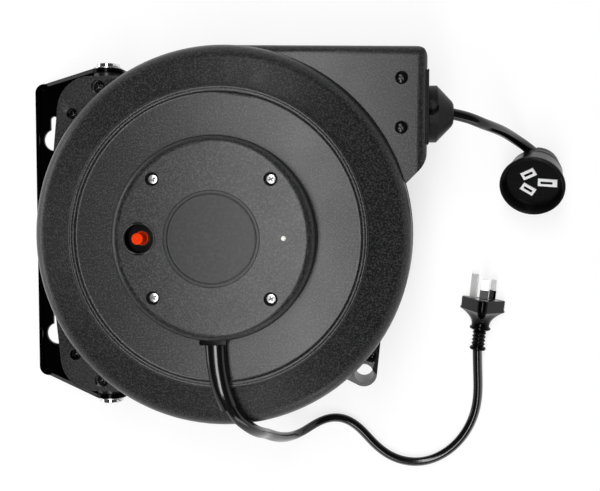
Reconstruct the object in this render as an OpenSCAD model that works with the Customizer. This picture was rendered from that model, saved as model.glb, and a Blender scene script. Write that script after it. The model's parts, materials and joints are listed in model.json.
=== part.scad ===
// Spring-rewound extension cord reel in a two-part casing that swings on a wall bracket.
// Origin: middle of the bracket plate's back face. X runs to the outlet side, Y up the wall and
// Z away from it. The reel lies on its back: the bracket and the rear hub both reach z = 0.

/* [Wall bracket] */
// Width of the bracket plate
plate_w = 108; // [104:1:130]
// Thickness of the bracket's sheet steel
sheet_t = 3; // [2:0.1:4]
// Corner radius of the plate
plate_corner_r = 8; // [4:0.5:12]
// Height of the folded side lips
lip_h = 9; // [5:0.5:14]
// Radius of the arm's nose round the pivot
arm_nose_r = 13; // [11:0.5:16]
// Distance of the pivot from the plate's edge on the reel's side
pivot_inset = 20; // [17:0.5:24]
// Spacing of the keyholes across the plate
key_pitch_x = 80; // [70:1:84]
// Spacing of the keyholes along the plate
key_pitch_y = 172; // [150:1:190]
// How far the keyhole pattern sits below the pivot line's middle
key_drop = 6; // [0:0.5:10]
// Radius of a keyhole's large circle
key_r = 9.3; // [6:0.1:10]
// Radius of a keyhole's slot end
key_slot_r = 3.2; // [2.5:0.1:4]
// Height of the slot's end above the large circle's centre
key_slot_rise = 17.5; // [13:0.5:20]

/* [Swivel] */
// Distance from the swivel axis back to the reel's own axis
pivot_back = 95; // [92:1:100]
// Radius of the pivot bolt's shank
pivot_r = 5; // [4:0.1:6]
// Wall of the bush in the bracket arm
bush_wall = 2.45; // [1.5:0.05:3]
// Radius of the bush's flange
bush_flange_r = 11; // [9.5:0.5:12]
// Thickness of the bush's flange
bush_flange_t = 3.1; // [2:0.1:4]
// Height of the ear's end above the casing wall
ear_stand = 17.8; // [15:0.1:22]
// Half thickness of the ears and the tether lug
ear_half_t = 15; // [13:0.5:18]
// Rounding of the ear's outer corner
ear_round_r = 26; // [18:0.5:28]
// Radius of the steel insert in the ear
insert_r = 9; // [8:0.5:10]
// Length of the steel insert
insert_len = 20; // [14:0.5:21]
// Radius of the pivot bolt's head
bolt_head_r = 9.25; // [8:0.25:10]
// Height of the pivot bolt's head
bolt_head_h = 3.2; // [2:0.1:5]
// Radius of the washer under the bolt's head
washer_r = 11.2; // [10:0.1:12]
// Thickness of that washer
washer_t = 1; // [0.6:0.1:2]

/* [Casing] */
// Outer radius of the round casing
case_r = 141; // [137:0.5:146]
// Wall thickness of the casing
wall = 3; // [2.4:0.1:3.6]
// Height of the front panel above the mid-plane
front_depth = 54; // [53:0.5:60]
// Depth of the back panel below the mid-plane
rear_depth = 53; // [52:0.5:60]
// Half height of the joint rim
rim_h = 4; // [2:0.5:6]
// How far the joint rim stands out
rim_out = 1.4; // [0.8:0.1:2]
// Height of the raised ring round the front panel
ridge_h = 1.5; // [0.8:0.1:2.5]
// Radius of the front edge's rounding
front_edge_r = 14; // [8:0.5:16]
// Radius of the back edge's rounding
rear_edge_r = 12; // [6:0.5:14]
// How far the mouth's face stands out past the casing
mouth_reach = 10; // [8:0.5:13]
// Half thickness of the mouth
mouth_half = 31; // [30:0.5:34]
// Rounding of the mouth's long edges
mouth_edge_r = 8; // [4:0.5:10]
// Rounding of the mouth's corner
mouth_corner_r = 9.5; // [6:0.5:12]
// Height of the lower end of the mouth's face
mouth_low = 54.5; // [52:0.5:58]
// Rounding of the mouth's lower corner
mouth_low_r = 21; // [12:0.5:24]
// Fall of the mouth's top edge towards the outlet
mouth_fall = 2.6; // [0:0.1:4]
// Radius of the tether lug
lug_r = 10; // [9.5:0.5:12]
// Radius of the tether lug's hole
lug_hole_r = 7.2; // [5:0.1:7.5]
// How far the tether lug's hole lies outside the casing wall
lug_out = 7.3; // [7.3:0.1:9]
// Radius of the casing screws' shanks
screw_r = 2; // [1.5:0.1:2.4]
// Radius of the casing screws' heads
screw_head_r = 3.6; // [3:0.1:3.8]
// Height of the casing screws' heads
screw_head_h = 2.4; // [1.5:0.1:2.8]
// Depth of the casing screws' recesses
screw_sink = 7; // [4:0.5:9]
// Play between a screw's head and its recess
sink_play = 0.7; // [0.4:0.1:1.2]

/* [Front hub] */
// Radius of the front hub cover
hub_r = 72.6; // [71:0.2:78]
// Height of the front hub cover
hub_h = 20.5; // [19:0.5:24]
// Wall thickness of the hub cover
hub_wall = 2.5; // [2:0.1:3]
// Rounding of the hub cover's edge
hub_edge_r = 7; // [4:0.5:8]
// Radius of the blank disc in the middle
label_r = 33.8; // [28:0.2:34]
// Depth of the disc's seat
label_t = 0.8; // [0.5:0.1:1.2]
// Offset of the four cover screws from the axis, along X and Y
hub_screw_at = 41.5; // [40:0.5:45]
// Radius of the cover screws' heads
hub_screw_head_r = 3.3; // [3:0.1:3.7]
// Depth of the cover screws' recesses
hub_screw_sink = 3.5; // [3:0.1:5]
// Play between a cover screw's head and its recess
hub_sink_play = 1.1; // [0.5:0.1:1.4]
// Distance of the breaker button from the axis
breaker_at = 51.4; // [50:0.2:53]
// Radius of the breaker's button
button_r = 4.1; // [3.5:0.1:4.5]
// Travel of the breaker's button
button_travel = 3; // [2:0.1:4]
// How far the button stands above the hub cover
button_rise = 3.5; // [3:0.1:6]
// Radius of the breaker's collar
collar_r = 4.9; // [4.7:0.1:5.6]
// Depth of the round well about the breaker's button
well_depth = 10.5; // [8:0.5:11]
// Radius of that well
well_r = 10.2; // [9:0.1:11]
// Radius of the power indicator's lens
lens_r = 1.9; // [1.5:0.1:2.5]
// Distance of the power indicator from the axis
lens_at = 50.4; // [46:0.2:54]

/* [Rear hub] */
// Radius of the rear hub
rear_hub_r = 66; // [64:0.5:72]
// Height of the rear hub behind the back panel
rear_hub_h = 27; // [25:0.5:32]
// Width of the rear hub's screw flange
rear_flange_w = 8; // [7:0.5:10]
// Radius of the spring's case
spring_case_r = 61; // [59:0.5:62.5]
// Wall of the spring's case
spring_case_t = 1.2; // [0.8:0.1:1.6]
// Thickness of the spring's strip
spring_t = 0.8; // [0.5:0.1:1.2]
// Turns of the power spring
spring_turns = 8; // [6:1:10]

/* [Drum] */
// Outer radius of the drum's barrel
drum_r = 52; // [50:0.5:54]
// Wall of the drum's barrel
drum_wall = 4; // [3.4:0.1:5]
// Width between the drum's flanges
drum_w = 52; // [48:0.5:53]
// Radius of the drum's flanges
flange_r = 122; // [115:0.5:126]
// Thickness of the drum's flanges
flange_t = 3; // [2:0.1:3.5]
// Outer radius of the drum's hub tube
hub_tube_r = 14; // [13:0.5:14.5]
// Radius of the fixed axle
axle_r = 8; // [7:0.1:9]
// Wall of the drum's bushes
bush_t = 2.9; // [2:0.1:3.4]
// Length of the drum's bushes
bush_len = 10; // [6:0.5:12]
// Radius of the ring carrier
carrier_r = 21; // [18:0.5:22]
// Thickness of a slip ring, across its radius
ring_t = 3; // [2:0.1:3.4]
// Width of a slip ring
ring_w = 3; // [2:0.1:3.4]
// Spacing of the slip rings
ring_pitch = 5; // [4.5:0.1:5]
// Outer radius of the ratchet wheel
ratchet_r = 44; // [42:0.5:46]
// Thickness of the ratchet wheel
ratchet_t = 6; // [4:0.5:7]
// Teeth on the ratchet wheel
ratchet_teeth = 24; // [18:1:30]
// Height of a ratchet tooth
tooth_h = 5; // [3:0.5:6]
// Distance of the pawl's pin from the axis
pawl_at = 58; // [56:0.5:62]
// Radius of the pawl's pin
pawl_pin_r = 3; // [2:0.1:4]
// Radius of the wound cord's outside
wind_r = 96.4; // [90:0.2:100]

/* [Cord outlet] */
// Diameter of the extension cord
cord_d = 8.6; // [7:0.1:10]
// Half width of the outlet frame's lip
outlet_half = 27.2; // [25:0.1:28]
// Width of the outlet frame's wall
outlet_wall = 1.8; // [1.2:0.1:2.5]
// How far the frame's lip stands out
outlet_lip = 2.4; // [1.5:0.1:4]
// Height of the outlet's middle above the cord
outlet_lift = 2.9; // [1:0.1:4]
// Radius of the guide rollers
roller_r = 6; // [5:0.1:6.5]
// Radius of the rollers' axles
roller_axle_r = 2.5; // [2:0.1:3]
// Height of the upper roller above the cord
roller_up = 23.5; // [20:0.5:26]
// Depth of the lower roller below the cord
roller_down = 12.4; // [11.5:0.1:14]
// Distance of the rollers behind the mouth's face
roller_back = 19; // [18:0.5:22]
// Radius of the cord stop
stop_r = 21.4; // [18:0.1:22]
// Width of the cord stop's middle band
stop_band = 9; // [6:0.5:12]
// Length of the cord stop
stop_len = 34.2; // [30:0.1:38]
// Radius of the cord stop's end faces
stop_end_r = 7.5; // [6:0.1:9]
// Turn of the cord stop's split about the cord
stop_roll = 20; // [0:1:45]
// Distance of the stop's screws from the cord
stop_screw_at = 9.7; // [9.2:0.1:12]
// Radius of the recesses over those screws
stop_sink_r = 5; // [4:0.1:5.4]

/* [Supply lead] */
// Width of the flat supply lead
lead_w = 8.4; // [7:0.1:10]
// Thickness of the flat supply lead
lead_t = 7; // [5:0.1:8]
// Width of the sleeve where it leaves the hub
sleeve_w = 14.4; // [12:0.1:16]
// Thickness of the sleeve there
sleeve_t = 11; // [9:0.1:12]
// Half width of the gland in the hub cover
gland_half_w = 10; // [8.5:0.5:12]
// Height of the gland
gland_h = 14; // [13:0.5:15]

/* [Plug] */
// Radius of the plug's face, to its rounded corners
plug_r = 20.4; // [18:0.1:22]
// Radius of the plug's corners
plug_corner_r = 4; // [3:0.1:6]
// Thickness of the plug's face slab
slab_t = 9.5; // [8:0.5:12]
// Length of the plug's taper
taper_len = 13.5; // [10:0.5:16]
// Diameter of the plug's neck
neck_d = 15; // [13:0.5:16]
// Diameter of the plug's collar
collar_d = 17.6; // [16:0.1:19]
// Length of the plug's collar
collar_len = 3; // [2:0.5:4]
// Length of the ribbed relief
relief_len = 17.3; // [14:0.1:20]
// Diameter of the relief's core
relief_d = 10.4; // [9.5:0.1:11]
// Diameter of the relief's ribs
rib_d = 13; // [12:0.1:15]
// Diameter of the relief's end ring
end_ring_d = 14.2; // [13:0.1:16]
// Ribs on the relief
ribs = 5; // [3:1:6]
// Width of a live pin
pin_w = 6.35; // [6:0.05:7]
// Thickness of a pin
pin_t = 1.6; // [1.4:0.05:1.8]
// Length of a live pin
pin_len = 17; // [15:0.1:19]
// Length of the earth pin
earth_len = 20; // [18:0.1:22]
// Length of the pins' sleeves
pin_sleeve_len = 8; // [6:0.1:9]
// Wall of the pins' sleeves
pin_sleeve_t = 0.4; // [0.3:0.05:0.6]
// Distance of a live pin from the plug's axis
live_at = 7.92; // [7.5:0.02:8.5]
// Distance of the earth pin from the plug's axis
earth_at = 10.31; // [9.8:0.02:11]

/* [Socket] */
// Radius of the socket's mouth
socket_r = 25.7; // [25:0.1:28]
// Radius of the socket's back edge
socket_back_r = 19.5; // [19:0.1:23]
// Length of the socket's body
socket_len = 28; // [24:0.5:30]
// Wall at the socket's rim
socket_wall = 2; // [1.5:0.1:3]
// Width of the band round the socket's rim
socket_band = 3; // [2:0.5:6]
// Radius of the recess's floor
recess_r = 21.4; // [20.8:0.1:21.6]
// Depth of the socket's recess
recess_depth = 9; // [7:0.5:12]
// Thickness of the socket's face plate
face_t = 3; // [2:0.1:4]
// Radius of the rear cap
cap_r = 18.2; // [17.5:0.1:18.8]
// Length of the rear cap
cap_len = 12; // [11:0.5:14]
// Tilt of the socket's axis
socket_tilt = 34; // [28:1:36]
// Height of the socket's mouth above the wall plane
socket_z = 43.1; // [42:0.1:48]

/* [Clearances] */
// Radial play of a running fit
run_play = 0.05; // [0.02:0.01:0.09]
// Gap between faces that move past each other
free_gap = 0.3; // [0.2:0.05:0.6]

/* [Hidden] */
$fn = 64;

cut = 1;                                    // overrun of a cutting solid

// Main places
pivot_shift = plate_w / 2 - pivot_inset;    // swivel axis, from the middle of the plate
reel_x = pivot_shift + pivot_back;          // reel axis
mid_z = rear_depth + rear_hub_h;            // mid-plane of the casing, and height of the swivel axis
ear_y = sqrt(pow(case_r, 2) - pow(pivot_back, 2)) + ear_stand;
arm_in_y = ear_y + free_gap + bush_flange_t;
arm_out_y = arm_in_y + sheet_t;
sleeve_r = pivot_r + run_play + bush_wall;
washer_y = arm_out_y + free_gap;
insert_end_y = ear_y - 1;

// Casing
front_in = front_depth - wall;
rear_in = rear_depth - wall;
case_in = case_r - wall - 0.4;
mouth_top = case_r + 1;
mouth_x = case_r + mouth_reach;
mouth_in = mouth_half - wall;
mouth_start = 14;                           // where the mouth's top edge begins, past the reel axis
mouth_bend_x = mouth_x - mouth_corner_r;
mouth_bend_y = mouth_top - mouth_fall - mouth_corner_r;
mouth_lean = atan(mouth_fall / (mouth_bend_x - mouth_start));
ear_x = -pivot_back - 39.3;
lug_angle = -44.7;
lug_at = [(case_r + lug_out) * cos(lug_angle), (case_r + lug_out) * sin(lug_angle)];
lug_screw_at = [(case_r + 2.8) * cos(lug_angle + 5.2), (case_r + 2.8) * sin(lug_angle + 5.2)];
sink_r = screw_head_r + sink_play;
seat_z = ear_half_t - screw_sink;
lock_seat_z = insert_r + 0.8;
roller_seat_z = mouth_in + 0.5;
ear_screw_at = [-pivot_back - 24.3, ear_y - 28.6];
lock_screw_at = [-pivot_back - 3.5, ear_y - 8.3];
lock_tip_z = 5.6;
lock_head_r = screw_head_r + 0.6;

// Cord outlet
cord_r = cord_d / 2;
cord_y = wind_r - cord_r;                   // height at which the cord leaves the drum
outlet_y = cord_y + outlet_lift;
outlet_in = outlet_half - outlet_wall;
outlet_hole = outlet_half - 0.7;
roller_x = mouth_x - roller_back;
roller_half = mouth_in - free_gap;
stop_x = mouth_x + 3.7;
stop_out_x = stop_x + stop_len / 2;
cord_in_x = sqrt(pow(wind_r, 2) - pow(cord_y - cord_r, 2)) + 2;

// Front hub
hub_top = front_depth + hub_h;
hub_sink_r = hub_screw_head_r + hub_sink_play;
well_floor = hub_top - well_depth;
breaker_top = well_floor - hub_wall;
breaker_bottom = breaker_top - 27.5;
neck_r = collar_r + 0.6;
gland_z = front_depth + 2;
gland_out = hub_r + 2.8;
gland_in = sqrt(pow(hub_r - hub_wall, 2) - pow(gland_half_w, 2)) - 0.6;
lead_z = gland_z + gland_h / 2 + 0.5;

// Drum
drum_half = drum_w / 2;
flange_z = drum_half + flange_t;
flange_in_r = ratchet_r - 10;
tube_in_r = axle_r + run_play + bush_t;
tube_rear = mid_z - wall - 6;
tube_front = front_in - 5;
ring_z0 = flange_z + 2;
ratchet_z = flange_z + ratchet_t;
drum_screw_r = 1.5;

// Rear hub
hub_floor = mid_z - wall;                   // depth of the rear hub's inside floor below the mid-plane
rear_screw_at = rear_hub_r + rear_flange_w / 2;
spring_in_r = hub_tube_r + 1.3;
spring_out_r = spring_case_r - spring_case_t - spring_t - 2.5;
tooth_step = 360 / ratchet_teeth;
pawl_lift = 14;                             // swing from engaged to clear
pin_top = ratchet_z - ratchet_t + 1.2;
pawl_z = ratchet_z - ratchet_t + 1.6;

// Plug and socket
plug_end = [329.4, -99.3, 12.5];            // end of the plug's relief, where the lead enters
plug_turn = 6.1;
plug_len = relief_len + collar_len + taper_len + slab_t;
plug_live_turns = [90, 210];
plug_earth_turn = 330;
socket_at = [367, 37.4, socket_z];
socket_lean = -120;
socket_live_turns = [120, 240];
socket_bore_r = cap_r - 3;

// Routes, as the control points of smooth curves
sleeve_points = [
    [reel_x + 0.5, -gland_out, mid_z + lead_z],
    [130, -88, 143.5],
    [131.8, -100, 143.2],
    [134.3, -111, 141.5],
    [137.9, -121.2, 138]
];
lead_points = [
    [139.4, -121.6, 138], [143.5, -130.5, 135], [153, -141.2, 124.5], [157.5, -148.3, 108], [158.5, -153, 91],
    [162.5, -159, 77], [166, -164, 63], [170.5, -168, 48.5], [174, -171, 34.5], [182, -170.5, 23],
    [192.5, -165, 12.5], [205, -161, 6.5], [218.5, -162.5, 4], [231, -171, 4], [241.5, -183.5, 4],
    [254, -194, 4], [268.5, -199.5, 4], [284, -200, 4], [298.5, -195, 4], [311, -186, 4], [321, -174, 4],
    [328, -159.5, 4], [331, -144.5, 5], [331, -129.5, 7.5], [330, -114.5, 10], plug_end
];
outlet_points = [
    [reel_x + stop_out_x, cord_y, mid_z], [313, 89.5, 78.5], [323.5, 85.5, 73], [333, 83.5, 62.5],
    [342, 81.5, 50.5], [350.5, 78.5, 38], [359, 74.5, 28.5], [366, 70.5, 24], [372.5, 66, 19.9]
];
sleeve_end_dir = [0.41, -0.82, -0.4];
socket_dir = [0.73, -0.51, -0.46];

// ---- helpers ----

function polar(r, a) = [r * cos(a), r * sin(a)];

function arc(c, r, a0, a1, n) = [for (i = [0:n]) c + polar(r, a0 + (a1 - a0) * i / n)];

// point where the tangent from p touches the circle at c; side picks the left (1) or right (-1) one
function touch(p, c, r, side) =
    let (d = c - p, far = norm(d), lean = asin(r / far), a = atan2(d[1], d[0]) + side * lean)
    p + sqrt(far * far - r * r) * [cos(a), sin(a)];

module at_reel() {
    translate([reel_x, 0, mid_z]) children();
}

module both_y() {
    children();
    mirror([0, 1, 0]) children();
}

// cylinder along Z from z0 to z1
module rod(r, z0, z1) {
    translate([0, 0, z0]) cylinder(r = r, h = z1 - z0);
}

module ring(r_out, r_in, z0, z1) {
    difference() {
        rod(r_out, z0, z1);
        rod(r_in, z0 - cut, z1 + cut);
    }
}

// cylinder along Y from y0 to y1
module rod_y(r, y0, y1) {
    translate([0, y0, 0]) rotate([-90, 0, 0]) cylinder(r = r, h = y1 - y0);
}

module round_rect(w, h, r) {
    square([w - 2 * r, h], center = true);
    square([w, h - 2 * r], center = true);
    for (x = [-1, 1], y = [-1, 1]) translate([x * (w / 2 - r), y * (h / 2 - r)]) circle(r = r);
}

// screw along Z with its head's top at z_top and a crossed recess
module screw(z_top, head_r, head_h, shank_r, z_tip) {
    difference() {
        union() {
            rod(head_r, z_top - head_h, z_top);
            rod(shank_r, z_tip, z_top - head_h + 0.2);
        }
        for (turn = [20, 110]) rotate([0, 0, turn])
            translate([-head_r * 0.55, -0.4, z_top - head_h * 0.5]) cube([head_r * 1.1, 0.8, head_h]);
    }
}

function unit(v) = v / norm(v);

// position and heading of the smooth curve at each of its control points
function on_curve(p) = [for (i = [0:len(p) - 1])
    (i == 0 || i == len(p) - 1) ? p[i] : (p[i - 1] + 4 * p[i] + p[i + 1]) / 6];
function headings(p, first, last) = [for (i = [0:len(p) - 1])
    i == 0 ? unit(first) : (i == len(p) - 1 ? unit(last) : unit(p[i + 1] - p[i - 1]))];

// flat tube swept along a route: widths and thicknesses run from [w0, t0] to [w1, t1]
module sweep(p, first, last, size0, size1, sides) {
    n = len(p);
    at = on_curve(p);
    go = headings(p, first, last);
    points = [for (i = [0:n - 1])
        let (side = unit(cross(go[i], [0, 0, 1])), up = cross(side, go[i]), k = i / (n - 1),
             w = size0[0] + (size1[0] - size0[0]) * k, t = size0[1] + (size1[1] - size0[1]) * k)
        for (j = [0:sides - 1])
            at[i] + side * (w / 2 * cos(360 * j / sides)) + up * (t / 2 * sin(360 * j / sides))];
    walls = [for (i = [0:n - 2], j = [0:sides - 1])
        let (a = i * sides + j, b = i * sides + (j + 1) % sides, c = a + sides, d = b + sides)
        for (f = [[a, b, d], [a, d, c]]) f];
    ends = [[for (j = [0:sides - 1]) sides - 1 - j], [for (j = [0:sides - 1]) (n - 1) * sides + j]];
    polyhedron(points = points, faces = [for (f = concat(walls, ends)) backwards(f)]);
}

function backwards(v) = [for (i = [len(v) - 1:-1:0]) v[i]];

// ---- wall bracket ----

// what the bracket shows from the side: its lips, and the arms above them
module side_outline() {
    nose = [pivot_shift, mid_z];
    half = plate_w / 2 + cut;
    foot = plate_w / 2 - plate_corner_r - 1;
    polygon([
        [-half, -cut], [half, -cut], [half, lip_h], [foot, lip_h],
        touch([foot, lip_h], nose, arm_nose_r, -1),
        nose,
        touch([-foot, lip_h], nose, arm_nose_r, 1),
        [-foot, lip_h], [-half, lip_h]
    ]);
    translate(nose) circle(r = arm_nose_r);
}

module keyhole() {
    translate([0, 0, -cut]) {
        cylinder(r = key_r, h = sheet_t + 2 * cut);
        translate([-key_slot_r, 0, 0]) cube([2 * key_slot_r, key_slot_rise, sheet_t + 2 * cut]);
        translate([0, key_slot_rise, 0]) cylinder(r = key_slot_r, h = sheet_t + 2 * cut);
    }
}

module wall_bracket() color("#141416") {
    high = mid_z + arm_nose_r + cut;
    difference() {
        intersection() {
            linear_extrude(high) round_rect(plate_w, 2 * arm_out_y, plate_corner_r);
            rotate([90, 0, 0]) translate([0, 0, -arm_out_y - cut])
                linear_extrude(2 * (arm_out_y + cut)) side_outline();
        }
        translate([0, 0, sheet_t])
            linear_extrude(high) round_rect(plate_w - 2 * sheet_t, 2 * arm_in_y, plate_corner_r - sheet_t);
        both_y() translate([pivot_shift, 0, mid_z]) rod_y(sleeve_r, arm_in_y - cut, arm_out_y + cut);
        for (x = [-1, 1], y = [-1, 1])
            translate([x * key_pitch_x / 2, y * key_pitch_y / 2 - key_drop, 0]) keyhole();
    }
}

module arm_bushes() color("#2a2a2c") {
    translate([pivot_shift, 0, mid_z]) both_y() difference() {
        union() {
            rod_y(bush_flange_r, arm_in_y - bush_flange_t, arm_in_y);
            rod_y(sleeve_r, arm_in_y, arm_out_y);
        }
        rod_y(pivot_r + run_play, ear_y, arm_out_y + cut);
    }
}

// ---- casing ----

module front_profile() {
    panel_r = case_r - 40.5;
    slope_r = case_r - 14.4;
    slope_z = front_depth - 7;
    polygon(concat(
        [[0, 0], [0, front_depth], [panel_r, front_depth], [panel_r + 1, front_depth - 1.2],
         [panel_r + 2.5, front_depth - 1.2], [panel_r + 3.6, front_depth + ridge_h * 0.8],
         [panel_r + 5, front_depth + ridge_h], [panel_r + 6.9, front_depth + ridge_h * 0.8],
         [panel_r + 8.5, front_depth - 0.8]],
        arc([slope_r, slope_z - front_edge_r], front_edge_r, 76, 0, 7),
        [[case_r, rim_h], [case_r + rim_out, rim_h], [case_r + rim_out, 0]]
    ));
}

module front_space() {
    polygon([
        [0, 0], [0, front_in], [case_r - 40, front_in], [case_r - 34, front_in - 1],
        [case_r - 16, front_in - 7], [case_r - 8, front_in - 11], [case_in - 0.2, front_in - 20], [case_in, 0]
    ]);
}

module rear_profile() {
    flat_r = case_r - 0.4 - rear_edge_r;
    polygon(concat(
        [[0, 0], [case_r + rim_out, 0], [case_r + rim_out, -rim_h], [case_r, -rim_h]],
        arc([flat_r, rear_edge_r - rear_depth], rear_edge_r, 0, -90, 6),
        [[0, -rear_depth]]
    ));
}

module rear_space() {
    polygon([
        [0, 0], [case_in, 0], [case_in - 0.6, rear_edge_r - rear_in], [case_r - rear_edge_r - 0.4, -rear_in],
        [0, -rear_in]
    ]);
}

module mouth_outline(inset) {
    right = mouth_x - inset;
    top = mouth_top - inset;
    low = mouth_low + inset * 0.4;
    run = mouth_reach + 10;
    low_r = mouth_low_r - inset;
    polygon(concat(
        [[0, 20], [0, case_r - inset], [mouth_start, top], [mouth_bend_x, top - mouth_fall],
         [right, mouth_bend_y]],
        arc([right - low_r, low + low_r * tan(22.5)], low_r, 0, -45, 5),
        [[right - run, low - run], [case_r - 40, mouth_low - 27]]
    ));
    translate([mouth_bend_x, mouth_bend_y]) circle(r = mouth_corner_r - inset);
}

// mouth block with rounded long edges, made smaller all round by inset
module mouth(inset) {
    half = mouth_half - inset;
    edge = mouth_edge_r - inset;
    reach = 2 * (mouth_x - inset);
    rise = 2 * (mouth_top - inset);
    intersection() {
        translate([0, 0, -half]) linear_extrude(2 * half) mouth_outline(inset);
        rotate([90, 0, 0]) translate([0, 0, -case_r - 20])
            linear_extrude(case_r + 20) round_rect(reach, 2 * half, edge);
        translate([mouth_start, mouth_top, 0]) rotate([0, 0, -mouth_lean]) translate([-mouth_start, -mouth_top, 0])
            rotate([90, 0, 90]) linear_extrude(mouth_x + 10) round_rect(rise, 2 * half, edge);
    }
}

module ear_outline() {
    polygon(concat(
        [[ear_x, 43], [ear_x, 65]],
        arc([ear_x + 3.3 + ear_round_r, ear_y - ear_round_r], ear_round_r, 174, 90, 8),
        [[ear_x + 64.3, ear_y], [ear_x + 64.3, 70], [ear_x + 14, 43]]
    ));
}

module lug_outline() {
    high = [(case_r + 1.4) * cos(lug_angle + 10.6), (case_r + 1.4) * sin(lug_angle + 10.6)];
    low = [(case_r - 0.6) * cos(lug_angle - 5.5), (case_r - 0.6) * sin(lug_angle - 5.5)];
    inner = [(case_r - 20) * cos(lug_angle), (case_r - 20) * sin(lug_angle)];
    translate(lug_at) circle(r = lug_r);
    polygon([inner, high, touch(high, lug_at, lug_r, 1), lug_at, touch(low, lug_at, lug_r, -1), low]);
}

module ears_and_lug() {
    both_y() translate([0, 0, -ear_half_t]) linear_extrude(2 * ear_half_t) ear_outline();
    translate([0, 0, -ear_half_t]) linear_extrude(2 * ear_half_t) lug_outline();
}

module outlet_opening() {
    translate([mouth_x - wall - cut, outlet_y - outlet_hole, -outlet_hole])
        cube([wall + 2 * cut, 2 * outlet_hole, 2 * outlet_hole]);
}

// pockets that both shells share: inserts, bolts, lug hole and outlet
module shell_cuts() {
    both_y() {
        translate([-pivot_back, 0, 0]) rod_y(insert_r, insert_end_y - insert_len, insert_end_y);
        translate([-pivot_back, 0, 0]) rod_y(pivot_r, insert_end_y - cut, ear_y + cut);
    }
    translate([lug_at[0], lug_at[1], 0]) rod(lug_hole_r, -ear_half_t - cut, ear_half_t + cut);
    outlet_opening();
}

module screw_places() {
    both_y() translate([ear_screw_at[0], ear_screw_at[1], 0]) children();
    translate([lug_screw_at[0], lug_screw_at[1], 0]) children();
}

module roller_places() {
    translate([roller_x, cord_y + roller_up, 0]) children();
    translate([roller_x, cord_y - roller_down, 0]) children();
}

module half_space(up) {
    translate([-300, -300, up ? 0 : -200]) cube([600, 600, 200]);
}

module front_shell() at_reel() color("#3c3d3f") difference() {
    union() {
        rotate_extrude($fn = 180) front_profile();
        intersection() {
            union() {
                mouth(0);
                ears_and_lug();
            }
            half_space(true);
        }
    }
    rotate_extrude($fn = 180) front_space();
    mouth(wall);
    shell_cuts();
    screw_places() {
        rod(sink_r, seat_z, ear_half_t + cut);
        rod(screw_r + 0.2, -cut, seat_z + cut);
    }
    both_y() translate([lock_screw_at[0], lock_screw_at[1], 0]) {
        rod(lock_head_r + sink_play + 0.4, lock_seat_z, ear_half_t + cut);
        rod(screw_r + 0.2, 0, lock_seat_z + cut);
    }
    roller_places() {
        rod(sink_r + 0.5, roller_seat_z, mouth_half + cut);
        rod(roller_axle_r, mouth_in - cut, mouth_half);
    }
    rod(axle_r, front_in - cut, front_depth + cut);
    translate([-breaker_at - 8.7, -7.7, front_in - cut]) cube([17.4, 15.4, wall + 2 * cut]);
    for (turn = [45:90:315]) rotate([0, 0, turn])
        translate([hub_screw_at * sqrt(2), 0, 0]) rod(1.5, front_in - cut, front_depth + cut);
}

module rear_shell() at_reel() color("#38393b") difference() {
    union() {
        rotate_extrude($fn = 180) rear_profile();
        intersection() {
            union() {
                mouth(0);
                ears_and_lug();
            }
            half_space(false);
        }
    }
    rotate_extrude($fn = 180) rear_space();
    mouth(wall);
    shell_cuts();
    screw_places() rod(screw_r, -ear_half_t + 3, cut);
    roller_places() rod(roller_axle_r, -mouth_half + 0.8, -mouth_in + cut);
    rod(hub_tube_r + 2, -rear_depth - cut, -rear_in + cut);
    for (turn = [45:90:315]) rotate([0, 0, turn])
        translate([rear_screw_at, 0, 0]) rod(1.5, -rear_depth - cut, -rear_in + cut);
    translate([pawl_at, 0, 0]) rod(pawl_pin_r, -rear_in - 1.5, -rear_in + cut);
}

module pivot_inserts() at_reel() color("#8d9094") both_y() difference() {
    translate([-pivot_back, 0, 0]) rod_y(insert_r, insert_end_y - insert_len, insert_end_y);
    translate([-pivot_back, 0, 0]) rod_y(pivot_r, insert_end_y - insert_len - cut, insert_end_y + cut);
    translate([lock_screw_at[0], lock_screw_at[1], 0]) rod(screw_r, lock_tip_z, insert_r + cut);
}

module pivot_bolts() color("#c9ccd0") translate([pivot_shift, 0, mid_z]) both_y() difference() {
    union() {
        rod_y(pivot_r, insert_end_y - insert_len + 2, washer_y + washer_t + 0.2);
        rod_y(bolt_head_r, washer_y + washer_t, washer_y + washer_t + bolt_head_h);
    }
    translate([0, washer_y + washer_t + bolt_head_h * 0.35, 0]) rotate([-90, 0, 0])
        cylinder(r = bolt_head_r * 0.4, h = bolt_head_h, $fn = 6);
}

module pivot_washers() color("#a9adb2") translate([pivot_shift, 0, mid_z]) both_y() difference() {
    rod_y(washer_r, washer_y, washer_y + washer_t);
    rod_y(pivot_r, washer_y - cut, washer_y + washer_t + cut);
}

module pivot_lock_screws() at_reel() color("#1b1b1d") both_y()
    translate([lock_screw_at[0], lock_screw_at[1], 0])
        screw(lock_seat_z + screw_head_h, lock_head_r, screw_head_h, screw_r, lock_tip_z);

module shell_screws() at_reel() color("#1b1b1d") screw_places()
    screw(seat_z + screw_head_h, screw_head_r, screw_head_h, screw_r, -ear_half_t + 3.5);

module roller_axles() at_reel() color("#1b1b1d") roller_places()
    screw(roller_seat_z + 1.8, screw_head_r + 0.4, 1.8, roller_axle_r, -mouth_half + 1);

module outlet_frame() at_reel() color("#202123") translate([0, outlet_y, 0]) difference() {
    union() {
        translate([mouth_x, -outlet_half, -outlet_half]) cube([outlet_lip, 2 * outlet_half, 2 * outlet_half]);
        translate([mouth_x - wall, -outlet_hole, -outlet_hole])
            cube([wall + 0.5, 2 * outlet_hole, 2 * outlet_hole]);
    }
    translate([mouth_x - wall - cut, -outlet_in, -outlet_in])
        cube([wall + outlet_lip + 2 * cut, 2 * outlet_in, 2 * outlet_in]);
}

// ---- axle and rear hub ----

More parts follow.
